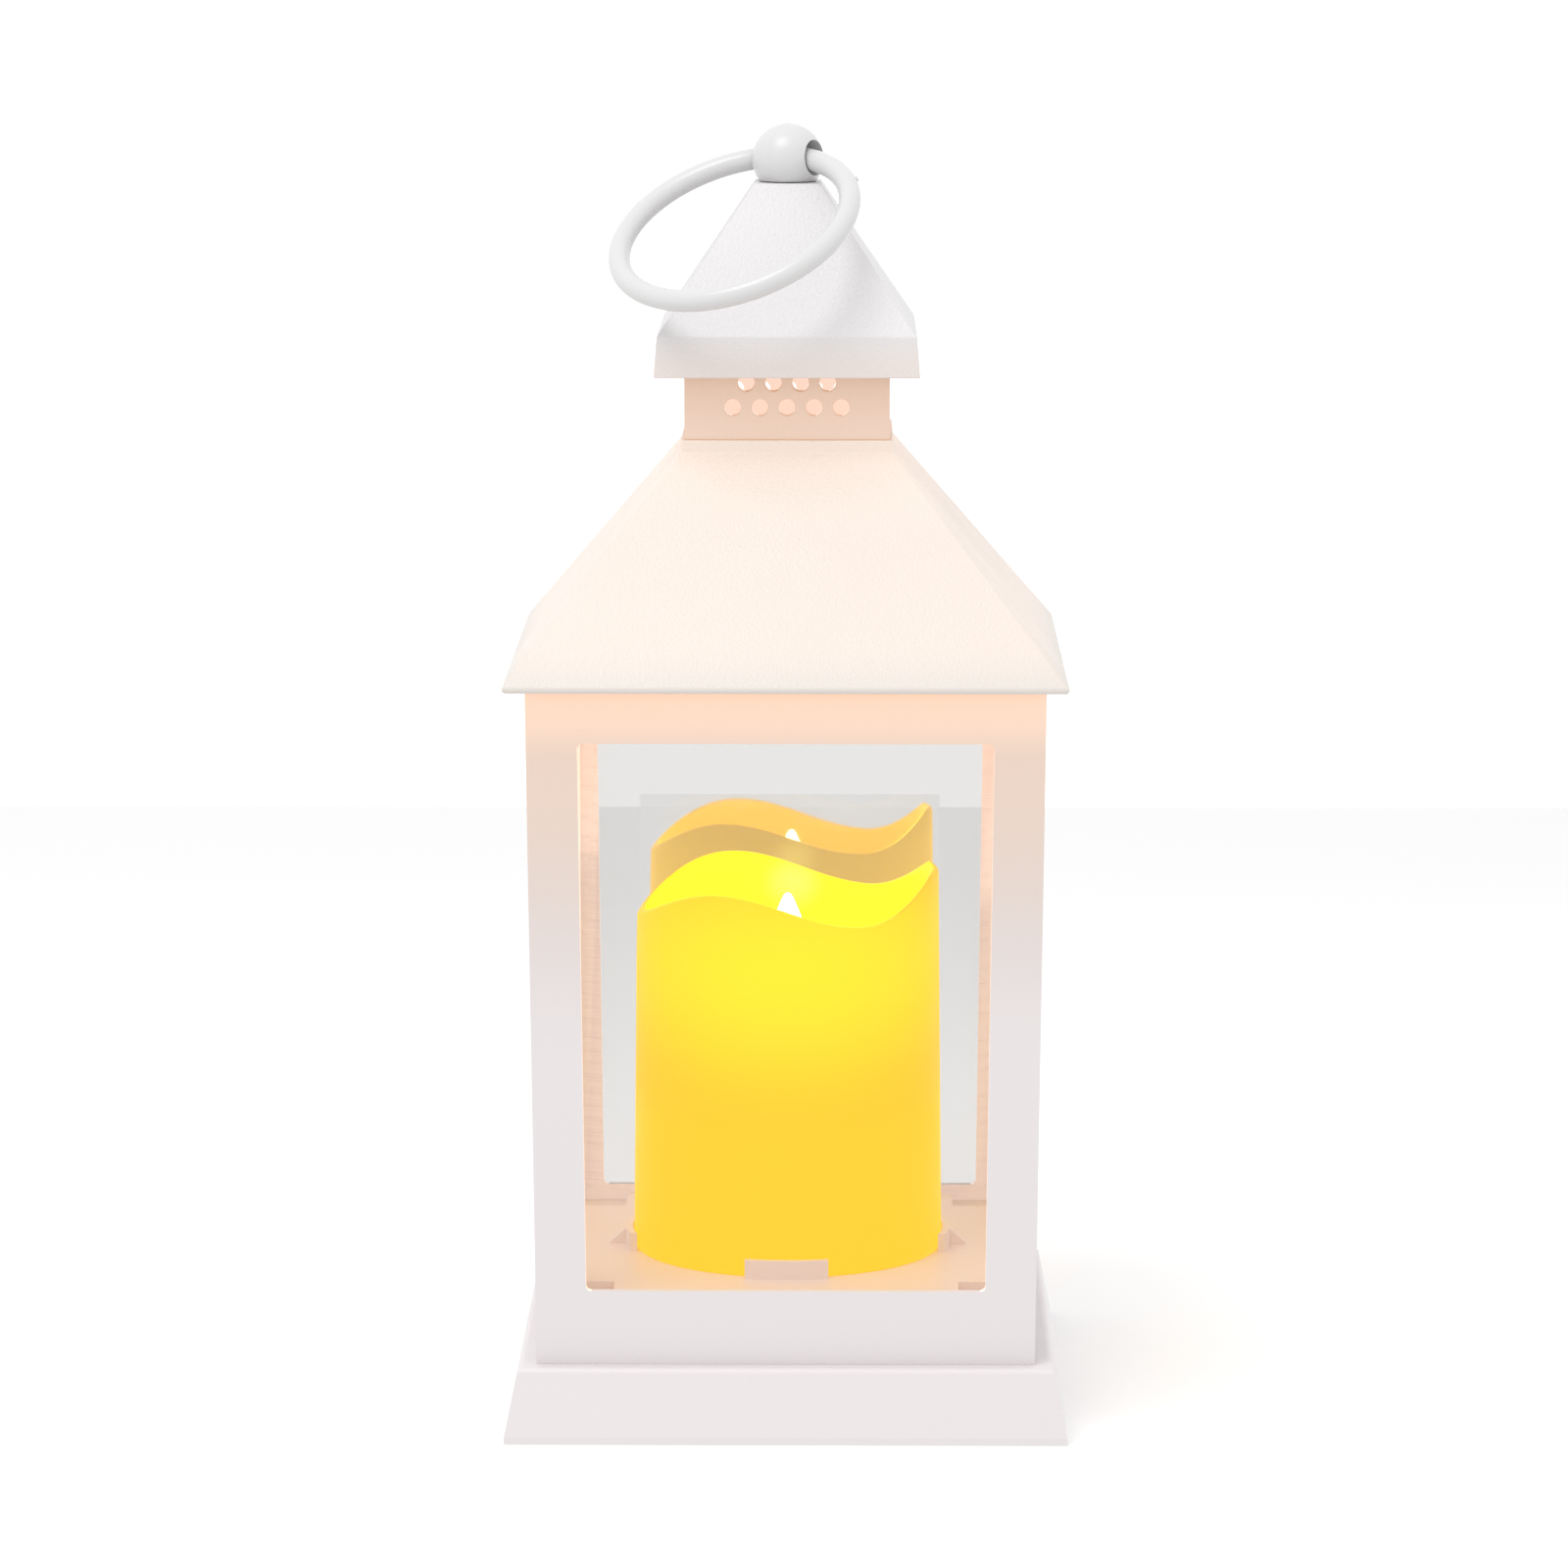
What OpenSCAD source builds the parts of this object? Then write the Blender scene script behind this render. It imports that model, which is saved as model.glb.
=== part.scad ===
// Hanging lantern of moulded plastic, with clear panes and a battery candle inside.
// Millimetres, +Z up. The origin is the centre of the square foot, on the table.

/* [Base] */
// Width of the square foot
foot_w = 105; // [104:0.5:108]
// Width over the ledge on top of the flared skirt
ledge_w = 99.9; // [99:0.1:101]
// Height of the ledge that carries the body
ledge_z = 14; // [13:0.5:15]
// Height of the floor inside the lantern
floor_z = 24.9; // [24.5:0.1:25.2]
// Wall thickness of the mouldings
wall = 1.8; // [1.6:0.1:2]

/* [Body] */
// Width of the body at the ledge
body_w = 93.1; // [92.8:0.1:93.4]
// Width that the body grows by from the ledge to the window head
body_draft = 2.6; // [2.2:0.1:2.8]
// Height of the window sill
sill_z = 28; // [27.5:0.5:30]
// Height of the window head
head_z = 131.5; // [126:0.5:134]
// Width of a window at its sill
window_w = 74.5; // [70:0.5:76]
// Thickness of a clear pane
pane_t = 1; // [0.8:0.1:1.1]

/* [Roof] */
// Width over the eaves
eave_w = 104; // [103:0.5:106]
// Height of the underside of the eaves
eave_z = 141.3; // [140:0.1:142]
// Rise of the roof for each millimetre towards the middle
roof_rise = 1.24; // [1.22:0.01:1.26]
// Width of the collar on top of the roof
collar_w = 39.8; // [39.6:0.1:40.2]

/* [Vent neck] */
// Width of the neck
neck_w = 38.4; // [38:0.1:38.8]
// Height of the seam between the collar and the neck
neck_z = 184.6; // [184:0.1:185]
// Diameter of a vent hole
vent_d = 3.1; // [2:0.1:3.4]
// Spacing of the vent holes
vent_pitch = 5.07; // [4.6:0.01:5.4]

/* [Cap] */
// Width over the lower edge of the cap
cap_w = 49.6; // [49:0.1:51]
// Height of the cap's lower edge
cap_z = 196.7; // [196:0.1:197.4]
// Height of the cap's skirt
cap_skirt_h = 7.6; // [7:0.1:8.4]
// Width of the flat on top of the cap
cap_top_w = 12.5; // [12:0.1:13]
// Height of that flat
cap_top_z = 231.6; // [231:0.1:232]

/* [Finial and ring] */
// Diameter of the ball
ball_d = 13.5; // [13:0.1:14]
// Angle that the ball is turned by, about the vertical
finial_turn = 31.6; // [0:0.1:90]
// Angle that the ring hangs below level
ring_droop = 33; // [0:0.5:38]
// Diameter of the ring along the middle of its rod
ring_d = 45; // [43:0.5:46]
// Diameter of the ring's rod
ring_rod_d = 4.1; // [3.6:0.1:4.3]

/* [Candle] */
// Diameter of the candle where its sleeve meets its foot
candle_d = 59.3; // [59:0.1:59.4]
// Diameter that the sleeve loses over its height
candle_taper = 1.5; // [1:0.1:2]
// Height of the highest point of the melted rim
rim_top_z = 100.2; // [99:0.1:101]
// Height of the crest on the left of the rim
rim_crest_z = 99.1; // [98:0.1:100]
// Height of the lowest point of the rim
rim_low_z = 93; // [92:0.1:94]

/* [Battery case] */
// Diameter of a battery
cell_d = 10.5; // [10:0.1:10.5]
// Length of a battery with its button
cell_l = 44.5; // [43:0.1:44.5]
// Travel of the switch
switch_travel = 4; // [2:0.5:4]

/* [Hidden] */
$fn = 48;
span = 300;          // longer than anything in the lantern
gap = 0.3;           // clearance between pieces that move past each other
bite = 0.1;          // depth by which features of one moulding run into each other

// Base
foot_h = foot_w / 2;
lip_z = 1.4;                            // upright lip at the bottom of the skirt
plinth_h = body_w / 2 - wall - gap;     // half-width of the plinth inside the body
seat_z = floor_z + 1.6;                 // raised cross that the candle stands on
seat_arm = 32.4;                        // half-width of its arms
seat_reach = 43.4;                      // how far they reach towards the panes
lug_w = 15.8;                           // locating lugs round the candle
lug_t = 1.3;
lug_z = floor_z + 5.2;
snap_x = 20;                            // snap hooks between body and plinth
snap_w = 7;
snap_z = 18;
snap_rise = 2.4;
snap_reach = 1.4;

// Body
body_h = body_w / 2;
draft = body_draft / 2 / (head_z - ledge_z);
window_r = 1;
pane_h = 42.5;                          // half-width of a pane
pane_top_z = 137;
rib_z = [floor_z + 0.4, 138];
rib_lip = 1.8;

// Roof
eave_h = eave_w / 2;
eave_lip = 1.1;
roof_apex_z = eave_z + eave_lip + eave_h * roof_rise;
roof_t = wall * sqrt(1 + roof_rise * roof_rise) / roof_rise;   // wall measured level
collar_h = collar_w / 2;

// Vent neck
neck_h = neck_w / 2;
spigot_h = neck_h - 1.1;
neck_in = spigot_h - 1.3;
neck_foot_z = neck_z - 6;
neck_top_z = cap_z + 3.8;
vent_rows = [[neck_z + 6.1, 5], [neck_z + 10.7, 4]];           // height, count

// Cap
cap_h = cap_w / 2;
cap_shoulder = [cap_h - 0.6, cap_z + cap_skirt_h];
cap_top_h = cap_top_w / 2;
cap_rise = (cap_top_z - cap_shoulder[1]) / (cap_shoulder[0] - cap_top_h);
cap_t = wall * sqrt(1 + cap_rise * cap_rise) / cap_rise;
cap_apex_z = cap_top_z + cap_top_h * cap_rise;
cap_plate_t = 2.2;
cap_rib_x = 12;
cap_rib_t = 1.6;
cap_rib_fit = 0.15;                     // room between a rib and the neck
cap_rib_drop = 2.4;                     // how far a rib reaches down outside the neck
cap_rib_z = [cap_z + 9, cap_z + 22];    // where a rib leaves the skirt, and its inner top

// Finial and ring
ball_z = cap_top_z + 4.2;
bore_z = ball_z + 0.45;
bore_r = 3.35;
stem_r = 2.5;
stem_fit = 0.08;                        // running clearance of the stem in the cap
stem_end_z = cap_top_z - cap_plate_t - 0.15;
washer_r = 4.4;
washer_t = 0.8;
ring_r = ring_d / 2;
ring_gap = 1.2;                         // split in the ring, inside the ball

// Screws: shank radius, pilot hole radius, clearance hole radius, head radius, head height
thread_r = 1.05;
pilot_r = 0.9;
clear_r = 1.5;
head_r = 2.4;
head_h = 1.5;

// Candle
candle_r = candle_d / 2;
sleeve_t = 1.5;
sleeve_z = seat_z + 4.6;                // seam between foot and sleeve
foot_t = 1.6;
spigot_r = candle_r - sleeve_t - 0.35;
spigot_top_z = sleeve_z + 5;
deck_z = 83;                            // underside of the deck inside the rim
deck_t = 1.5;
crest_x = -12.5;                        // crest and hollow of the melted rim
hollow_x = 15.2;
led_r = 2.5;
led_flange_r = 2.95;
led_leg_x = 1.27;
led_leg_z = 72;
flame_r = 3.3;
flame_tip_z = deck_z + 12.2;
flame_tip_r = 0.6;
candle_screw_x = 20;
wire_hole = [0, 17.3];
wire_hole_r = 4.5;

// Battery case
box_h = 27.1;                           // half-length of the case
box_y = [-25.4, 25.4];
box_z = [4, 19.2];
box_t = 1.6;
bay_h = box_h - box_t;
bay_y = [box_y[0] + box_t, 9.2];        // battery bay
board_y = [10.8, box_y[1] - box_t];     // bay of the circuit board
ear_at = [31, 18];
ear_r = 3.6;
boss_r = 3;
cell_r = cell_d / 2;
cell_body_l = cell_l - 1;
cell_z = 12.1;
cell_pitch = cell_d + 0.1;
cell_y = [-17.5, -17.5 + cell_pitch, -17.5 + 2 * cell_pitch];
cell_way = [1, -1, 1];                  // the way each button points along X
plate_t = 0.5;
plate_x = bay_h - plate_t;
plate_z = [8, 15.5];
hinge_at = [-21.9, 6];                  // y and z of the door's hinge
hinge_pin_r = 1;
hinge_fit = 0.06;                       // running clearance of the hinge pins
knuckle_r = hinge_at[1] - box_z[0];
door_y = bay_y[1] - gap;
latch_w = 9.6;
switch_y = 17.3;
knob = [3.6, 2.6];
slider_l = 5;                           // length of the slider inside the switch
board_z = 10.4;
board_t = 1.2;
board_h = 15;                           // half-length of the board
chip_at = [-10.5, 13.3];                // corner and size of the timer chip
chip_size = [5, 3.5, 1.5];
lead_r = 0.45;
lead_x = plate_x + 0.01;                // leads run above the contact plates' upper edges
lead_z = 16.8;
lead_hole = [24.6, 10];                 // where they pass the wall between the bays
lead_hole_r = 0.8;
latch_slot_z = 7.2;
switch_well = 2.7;                      // depth of the hollow that the switch's slider moves in

// Routes of the leads, from the LED's legs to the board and from the contacts to the board
red_led_route = [[1.27, 0, 71], [1.4, 1, 66], [2.6, 7, 55], [2.6, 14, 42], [2.2, 17.2, 31],
    [2.2, 17.3, 24], [2.6, 17.3, 17], [3, 17.3, 11.4]];
black_led_route = [[-1.27, 0, 71], [-1.4, 1, 66], [-2.4, 8, 54], [-2.6, 15, 41], [-2.2, 17.3, 31],
    [-2.2, 17.4, 24], [-2.6, 17.3, 17], [-3, 17.3, 11.4]];
red_cell_route = [[lead_x, cell_y[0], plate_z[1]], [lead_x, cell_y[0] + 0.1, plate_z[1] + 0.7],
    [lead_x, cell_y[0] + 1, lead_z], [lead_x, -12, lead_z], [lead_x, -4, lead_z],
    [lead_x, 4, lead_z], [lead_hole[0] + 0.2, 7.5, lead_z], [lead_hole[0], 10, lead_z],
    [24, 12.5, 16.5], [22, 14.8, 15.8], [16, 17, 14], [11, 18, 11.4]];
black_cell_route = [[-lead_x, 7, plate_z[1]], [-lead_x, 7.1, plate_z[1] + 0.7],
    [-lead_hole[0] - 0.2, 8.2, lead_z], [-lead_hole[0], 10, lead_z], [-24, 12.5, 16.5],
    [-22, 14.8, 15.8], [-18, 17, 14], [-13, 18, 11.4]];

// The points of a rounded corner b between a and c: n + 1 points on an arc of radius r
function unit(v) = v / norm(v);
function rounded(a, b, c, r, n = 5) =
    let (u = unit(a - b), v = unit(c - b), half = acos(u * v) / 2,
        centre = b + unit(u + v) * r / sin(half),
        s = unit(b + u * r / tan(half) - centre), e = unit(b + v * r / tan(half) - centre),
        turn = 180 - 2 * half)
    [for (i = [0:n]) centre + r * (s * sin(turn * (1 - i / n)) + e * sin(turn * i / n)) / sin(turn)];

// Half-widths of the drafted and sloping walls at height z
function body_at(z) = body_h + draft * (z - ledge_z);
function body_in(z) = body_at(z) - wall;
function roof_at(z) = (roof_apex_z - z) / roof_rise;
function cap_at(z) = (cap_apex_z - z) / cap_rise;

// A square solid whose half-width at each height follows the profile of [half-width, z] points
module square_turned(profile) {
    outline = concat(profile, [for (i = [len(profile) - 1:-1:0]) [-profile[i][0], profile[i][1]]]);
    intersection() {
        rotate([90, 0, 0]) linear_extrude(span, center = true) polygon(outline);
        rotate([90, 0, 90]) linear_extrude(span, center = true) polygon(outline);
    }
}

// The inside of the body, drawn in by a depth from the wall's inner face
module body_cavity(depth = 0, low = ledge_z - 1, high = 160)
    square_turned([[body_in(low) - depth, low], [body_in(high) - depth, high]]);

// The space under the sloping roof
module roof_cavity()
    square_turned([[roof_at(eave_z - 1) - roof_t, eave_z - 1],
        [spigot_h + bite, roof_apex_z - (spigot_h + bite + roof_t) * roof_rise],
        [spigot_h + bite, neck_z + 1]]);

module slab(low, high) translate(low) cube(high - low);

module four_ways() for (a = [0:90:270]) rotate(a) children();

module at_corners(x, y) for (i = [-1, 1], j = [-1, 1]) translate([i * x, j * y, 0]) children();

module disc(r, low, high) translate([0, 0, low]) cylinder(r = r, h = high - low);

// A screw that points up, with its head's upper face at height z
module screw(z, length) {
    disc(head_r, z - head_h, z);
    disc(thread_r, z - bite, z + length);
}

// A closed tube along a smooth curve through the route's points
function spline(p, i, t) =
    let (a = p[max(i - 1, 0)], b = p[i], c = p[i + 1], d = p[min(i + 2, len(p) - 1)])
    0.5 * (2 * b + (c - a) * t + (2 * a - 5 * b + 4 * c - d) * t * t
        + (3 * b - a - 3 * c + d) * t * t * t);
function smooth(p, steps) = concat(
    [for (i = [0:len(p) - 2], k = [0:steps - 1]) spline(p, i, k / steps)], [p[len(p) - 1]]);
function tangent(p, i) = unit(p[min(i + 1, len(p) - 1)] - p[max(i - 1, 0)]);
function across(p, i) = i == 0 ? unit(cross(tangent(p, 0), [0.36, 0.48, 0.8]))
    : let (n = across(p, i - 1), t = tangent(p, i)) unit(n - (n * t) * t);
module tube(route, r, steps = 2, sides = 8) {
    p = smooth(route, steps);
    rings = [for (i = [0:len(p) - 1]) let (t = tangent(p, i), n = across(p, i), b = cross(t, n))
        [for (k = [0:sides - 1]) p[i] + r * (n * cos(360 * k / sides) + b * sin(360 * k / sides))]];
    last = (len(p) - 1) * sides;
    polyhedron([for (ring = rings, q = ring) q], concat(
        [[for (k = [0:sides - 1]) k]], [[for (k = [sides - 1:-1:0]) last + k]],
        [for (i = [0:len(p) - 2], k = [0:sides - 1]) let (a = i * sides + k,
            b = i * sides + (k + 1) % sides) [a, a + sides, b + sides, b]]));
}

// Base: flared skirt, ledge, plinth and floor in one moulding
module base() {
    ledge_h = ledge_w / 2;
    outer = concat([[foot_h, 0], [foot_h, lip_z]],
        rounded([foot_h, lip_z], [ledge_h, ledge_z], [plinth_h, ledge_z], 1.2),
        [[plinth_h, ledge_z], [plinth_h, floor_z]]);
    under_z = ledge_z - wall;
    inner = [[foot_h - wall, -1], [foot_h - wall, lip_z], [ledge_h - wall, under_z],
        [plinth_h - wall, under_z], [plinth_h - wall, floor_z - wall]];
    color("whitesmoke") difference() {
        union() {
            difference() {
                union() {
                    square_turned(outer);
                    cross_block(seat_arm, seat_reach, floor_z - bite, seat_z);
                }
                square_turned(inner);
                cross_block(seat_arm - wall, seat_reach - wall,
                    floor_z - wall - bite, seat_z - wall);
            }
            base_lugs();
            at_corners(ear_at[0], ear_at[1]) disc(boss_r, box_z[1], seat_z - wall + bite);
        }
        translate(wire_hole) disc(wire_hole_r, floor_z - 3, seat_z + 1);
        for (s = [-1, 1]) translate([s * candle_screw_x, 0]) disc(clear_r, floor_z - 3, seat_z + 1);
        at_corners(ear_at[0], ear_at[1]) disc(pilot_r, box_z[1] - 1, floor_z - 1);
        four_ways() for (s = [-1, 1]) translate([s * snap_x, -plinth_h, snap_z + snap_rise / 2])
            cube([snap_w + 2 * gap, 3 * wall, snap_rise + 2 * gap], center = true);
    }
}

// A square cross with its arms along X and Y
module cross_block(half, reach, low, high) {
    slab([-half, -reach, low], [half, reach, high]);
    slab([-reach, -half, low], [reach, half, high]);
}

// Four upright lugs round the candle's foot, the side ones with a gusset
module base_lugs() {
    lug_r = candle_r + 0.35;
    four_ways() intersection() {
        difference() {
            disc(lug_r + lug_t, seat_z - bite, lug_z);
            disc(lug_r, seat_z - 1, lug_z + 1);
        }
        slab([-lug_w / 2, -span, 0], [lug_w / 2, 0, lug_z + 1]);
    }
    for (s = [0, 180]) rotate([90, 0, s]) linear_extrude(2, center = true)
        polygon([[lug_r + bite, seat_z - bite], [lug_r + lug_t + 3, seat_z - bite],
            [lug_r + lug_t + 3, seat_z + 0.4], [lug_r + lug_t, lug_z - 0.6],
            [lug_r + bite, lug_z - 0.6]]);
}

// Body: four corner posts with a rail above and below each window
module body_frame() {
    top_z = 150;
    color("whitesmoke") {
        difference() {
            intersection() {
                square_turned([[body_h, ledge_z], [body_at(top_z), top_z]]);
                union() {
                    roof_cavity();
                    slab([-foot_h, -foot_h, 0], [foot_h, foot_h, eave_z]);
                }
            }
            body_cavity();
            window_cut();
            rotate(90) window_cut();
        }
        pane_ribs();
        four_ways() for (s = [-1, 1]) translate([s * snap_x, 0, 0]) snap_hook();
    }
}

module window_cut() {
    low = [window_w / 2, sill_z];
    high = [window_w / 2 + draft * (head_z - sill_z), head_z];
    flip = [-1, 1];
    left = [[-low[0], low[1]], [-high[0], high[1]]];
    rotate([90, 0, 0]) linear_extrude(span, center = true) polygon(concat(
        rounded(left[0], low, high, window_r), rounded(low, high, left[1], window_r),
        rounded(high, left[1], left[0], window_r), rounded(left[1], left[0], low, window_r)));
}

// Ribs in the four corners, which hold the edges of the panes against the wall
module pane_ribs() {
    lip_from = pane_h - 0.9;
    web_from = pane_h + 0.4;
    intersection() {
        union() {
            intersection() {
                at_corners(lip_from + span / 2, lip_from + span / 2)
                    translate([0, 0, rib_z[0]]) translate([-span / 2, -span / 2])
                        cube([span, span, rib_z[1] - rib_z[0]]);
                difference() {
                    body_cavity(pane_t + 0.15);
                    body_cavity(pane_t + 0.15 + rib_lip, ledge_z - 2, 161);
                }
            }
            at_corners(web_from + span / 2, web_from + span / 2)
                translate([0, 0, rib_z[0]]) translate([-span / 2, -span / 2])
                    cube([span, span, rib_z[1] - rib_z[0]]);
        }
        body_cavity(-bite);
    }
}

module snap_hook() {
    face = body_in(snap_z);
    reach = face - snap_reach - gap;
    translate([0, 0, snap_z]) rotate([90, 0, -90]) linear_extrude(snap_w, center = true)
        polygon([[face + 2 * bite, 0], [face - bite, 0], [reach, snap_rise * 0.8],
            [reach, snap_rise], [face + 2 * bite, snap_rise]]);
}

// A clear pane, laid against the wall behind its window
module pane(turn) color("lightcyan", 0.4) rotate(turn) intersection() {
    difference() {
        body_cavity();
        body_cavity(pane_t, ledge_z - 2, 161);
    }
    slab([-pane_h, -span, floor_z], [pane_h, -30, pane_top_z]);
}
module pane_front() pane(0);
module pane_right() pane(90);
module pane_back() pane(180);
module pane_left() pane(270);

// Roof: a hollow square pyramid with an eave lip and a collar
module roof() color("white") difference() {
    square_turned([[eave_h - 0.4, eave_z], [eave_h, eave_z + 0.4], [eave_h, eave_z + eave_lip],
        [collar_h, roof_apex_z - collar_h * roof_rise], [collar_h, neck_z]]);
    roof_cavity();
}

// Neck: a square tube with two rows of vent holes in every side
module vent_neck() color("linen") difference() {
    square_turned([[spigot_h, neck_foot_z], [spigot_h, neck_z], [neck_h, neck_z],
        [neck_h, neck_top_z]]);
    slab([-neck_in, -neck_in, 0], [neck_in, neck_in, span]);
    for (turn = [0, 90], row = vent_rows, i = [0:row[1] - 1])
        rotate([90, 0, turn]) translate([(i - (row[1] - 1) / 2) * vent_pitch, row[0]])
            cylinder(d = vent_d, h = neck_w + 2, center = true);
}

// Cap: a skirted hollow pyramid, with ribs that sit over the neck's upper edge
module cap() color("white") {
    outer = concat([[cap_h, cap_z]],
        rounded([cap_h, cap_z], cap_shoulder, [cap_top_h, cap_top_z], 1),
        [[cap_top_h, cap_top_z]]);
    plate_z_low = cap_top_z - cap_plate_t;
    in_h = cap_shoulder[0] - wall;
    difference() {
        square_turned(outer);
        square_turned([[cap_h - wall, cap_z - 1], [in_h, cap_apex_z - (in_h + cap_t) * cap_rise],
            [cap_at(plate_z_low) - cap_t, plate_z_low]]);
        disc(stem_r + stem_fit, plate_z_low - 1, cap_top_z + 1);
    }
    intersection() {
        four_ways() for (s = [-1, 1]) translate([s * cap_rib_x, 0]) cap_rib();
        square_turned([[cap_h - wall + bite, cap_z], [in_h + bite, cap_shoulder[1] - 1],
            [cap_at(plate_z_low) - cap_t + bite, plate_z_low]]);
    }
}

module cap_rib() rotate([90, 0, -90]) linear_extrude(cap_rib_t, center = true)
    polygon([[neck_h + cap_rib_fit, neck_top_z - cap_rib_drop], [cap_h, neck_top_z - cap_rib_drop],
        [cap_h, cap_rib_z[0]], [neck_in, cap_rib_z[1]], [neck_in, neck_top_z],
        [neck_h + cap_rib_fit, neck_top_z]]);

// Finial: a ball that swivels on a stem in the cap, held from inside by a screw and a washer
module finial_ball() color("white") rotate(-finial_turn) difference() {
    union() {
        difference() {
            translate([0, 0, ball_z]) sphere(d = ball_d);
            slab([-ball_d, -ball_d, 0], [ball_d, ball_d, cap_top_z + 0.2]);
        }
        disc(stem_r, stem_end_z, cap_top_z + 1);
    }
    translate([0, 0, bore_z]) rotate([0, 90, 0]) cylinder(r = bore_r, h = 2 * ball_d, center = true);
    disc(pilot_r, stem_end_z - 1, cap_top_z + 0.8);
}

module finial_washer() color("silver") difference() {
    disc(washer_r, stem_end_z - washer_t, stem_end_z);
    disc(clear_r, stem_end_z - 2, stem_end_z + 1);
}

module finial_screw() color("silver") screw(stem_end_z - washer_t, washer_t + 2.4);

// Ring: a round rod bent to a circle, split where the ball hides its ends
module hanging_ring() color("white")
    translate([0, 0, bore_z]) rotate([0, 0, -finial_turn]) rotate([ring_droop, 0, 0]) difference() {
        translate([0, -ring_r, 0]) rotate_extrude() translate([ring_r, 0]) circle(d = ring_rod_d);
        cube([ring_gap, ring_rod_d * 2, ring_rod_d * 2], center = true);
    }

// Candle foot: a shallow cup whose spigot centres the sleeve
module candle_foot() color("gold") difference() {
    union() {
        rotate_extrude() polygon([[0, seat_z], [candle_r - 0.5, seat_z], [candle_r, seat_z + 0.7],
            [candle_r, sleeve_z], [spigot_r, sleeve_z], [spigot_r, spigot_top_z],
            [spigot_r - sleeve_t, spigot_top_z], [spigot_r - sleeve_t, seat_z + foot_t],
            [0, seat_z + foot_t]]);
        for (s = [-1, 1]) translate([s * candle_screw_x, 0]) disc(boss_r, seat_z + bite, seat_z + 8);
    }
    translate(wire_hole) disc(wire_hole_r, seat_z - 1, seat_z + 5);
    for (s = [-1, 1]) translate([s * candle_screw_x, 0]) disc(pilot_r, seat_z - 1, seat_z + 7);
}

// Height of the melted rim at a distance x to the side
function rim_at(x) = min(rim_top_z,
    x < crest_x ? rim_crest_z - 0.0285 * pow(x - crest_x, 2)
    : x > hollow_x ? rim_low_z + 0.05 * pow(x - hollow_x, 2)
    : (rim_crest_z + rim_low_z) / 2
        + (rim_crest_z - rim_low_z) / 2 * cos(180 * (x - crest_x) / (hollow_x - crest_x)));

// Candle sleeve: a drafted shell with a wavy melted rim and a deck that carries the flame
module candle_sleeve() {
    high = rim_top_z + 2;
    top_r = candle_r - candle_taper / 2;
    rim = [for (x = [-31:2:31]) [x, rim_at(x)]];
    color("gold") difference() {
        intersection() {
            translate([0, 0, sleeve_z]) cylinder(r1 = candle_r, r2 = top_r, h = high - sleeve_z);
            rotate([90, 0, 0]) linear_extrude(span, center = true)
                polygon(concat([[31, sleeve_z - 1], [-31, sleeve_z - 1]], rim));
        }
        sleeve_bore(sleeve_z, deck_z);
        sleeve_bore(deck_z + deck_t, high);
        disc(led_r + 0.05, deck_z - 1, high);
    }
}

function sleeve_in(z) = candle_r - sleeve_t
    - candle_taper / 2 * (z - sleeve_z) / (rim_top_z + 2 - sleeve_z);

module sleeve_bore(low, high) translate([0, 0, low])
    cylinder(r1 = sleeve_in(low), r2 = sleeve_in(high), h = high - low);

// Flame: a frosted cover over the lamp, drawn up to a blunt tip
module flame_diffuser() color("white") {
    base_z = deck_z + deck_t;
    widest_z = base_z + 4;
    side = [for (i = [0:10]) let (t = i / 10)
        [flame_r - (flame_r - flame_tip_r) * pow(t, 1.2), widest_z + (flame_tip_z - widest_z) * t]];
    rotate_extrude() difference() {
        polygon(concat([[0, base_z], [flame_r + 1.4, base_z], [flame_r + 1.4, base_z + 0.8],
            [flame_r - 0.3, base_z + 1.2]], side, [[0, flame_tip_z]]));
        polygon([[-1, base_z - 1], [led_r + 0.1, base_z - 1], [led_r + 0.1, base_z + 4],
            [led_r * 0.7, base_z + 6.2], [-1, base_z + 6.8]]);
    }
}

// Lamp: a round 5 mm LED whose flange sits under the deck
module led() color("lightyellow") {
    dome_z = deck_z + 5.1;
    disc(led_flange_r, deck_z - 1, deck_z);
    disc(led_r, deck_z - bite, dome_z);
    intersection() {
        translate([0, 0, dome_z]) sphere(r = led_r);
        disc(led_r + 1, dome_z - bite, dome_z + led_r);
    }
    for (s = [-1, 1]) translate([s * led_leg_x, 0]) disc(0.25, led_leg_z - 1, deck_z - 1 + bite);
}

module candle_screws() color("silver")
    for (s = [-1, 1]) translate([s * candle_screw_x, 0]) screw(seat_z - wall, wall + 6);

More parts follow.
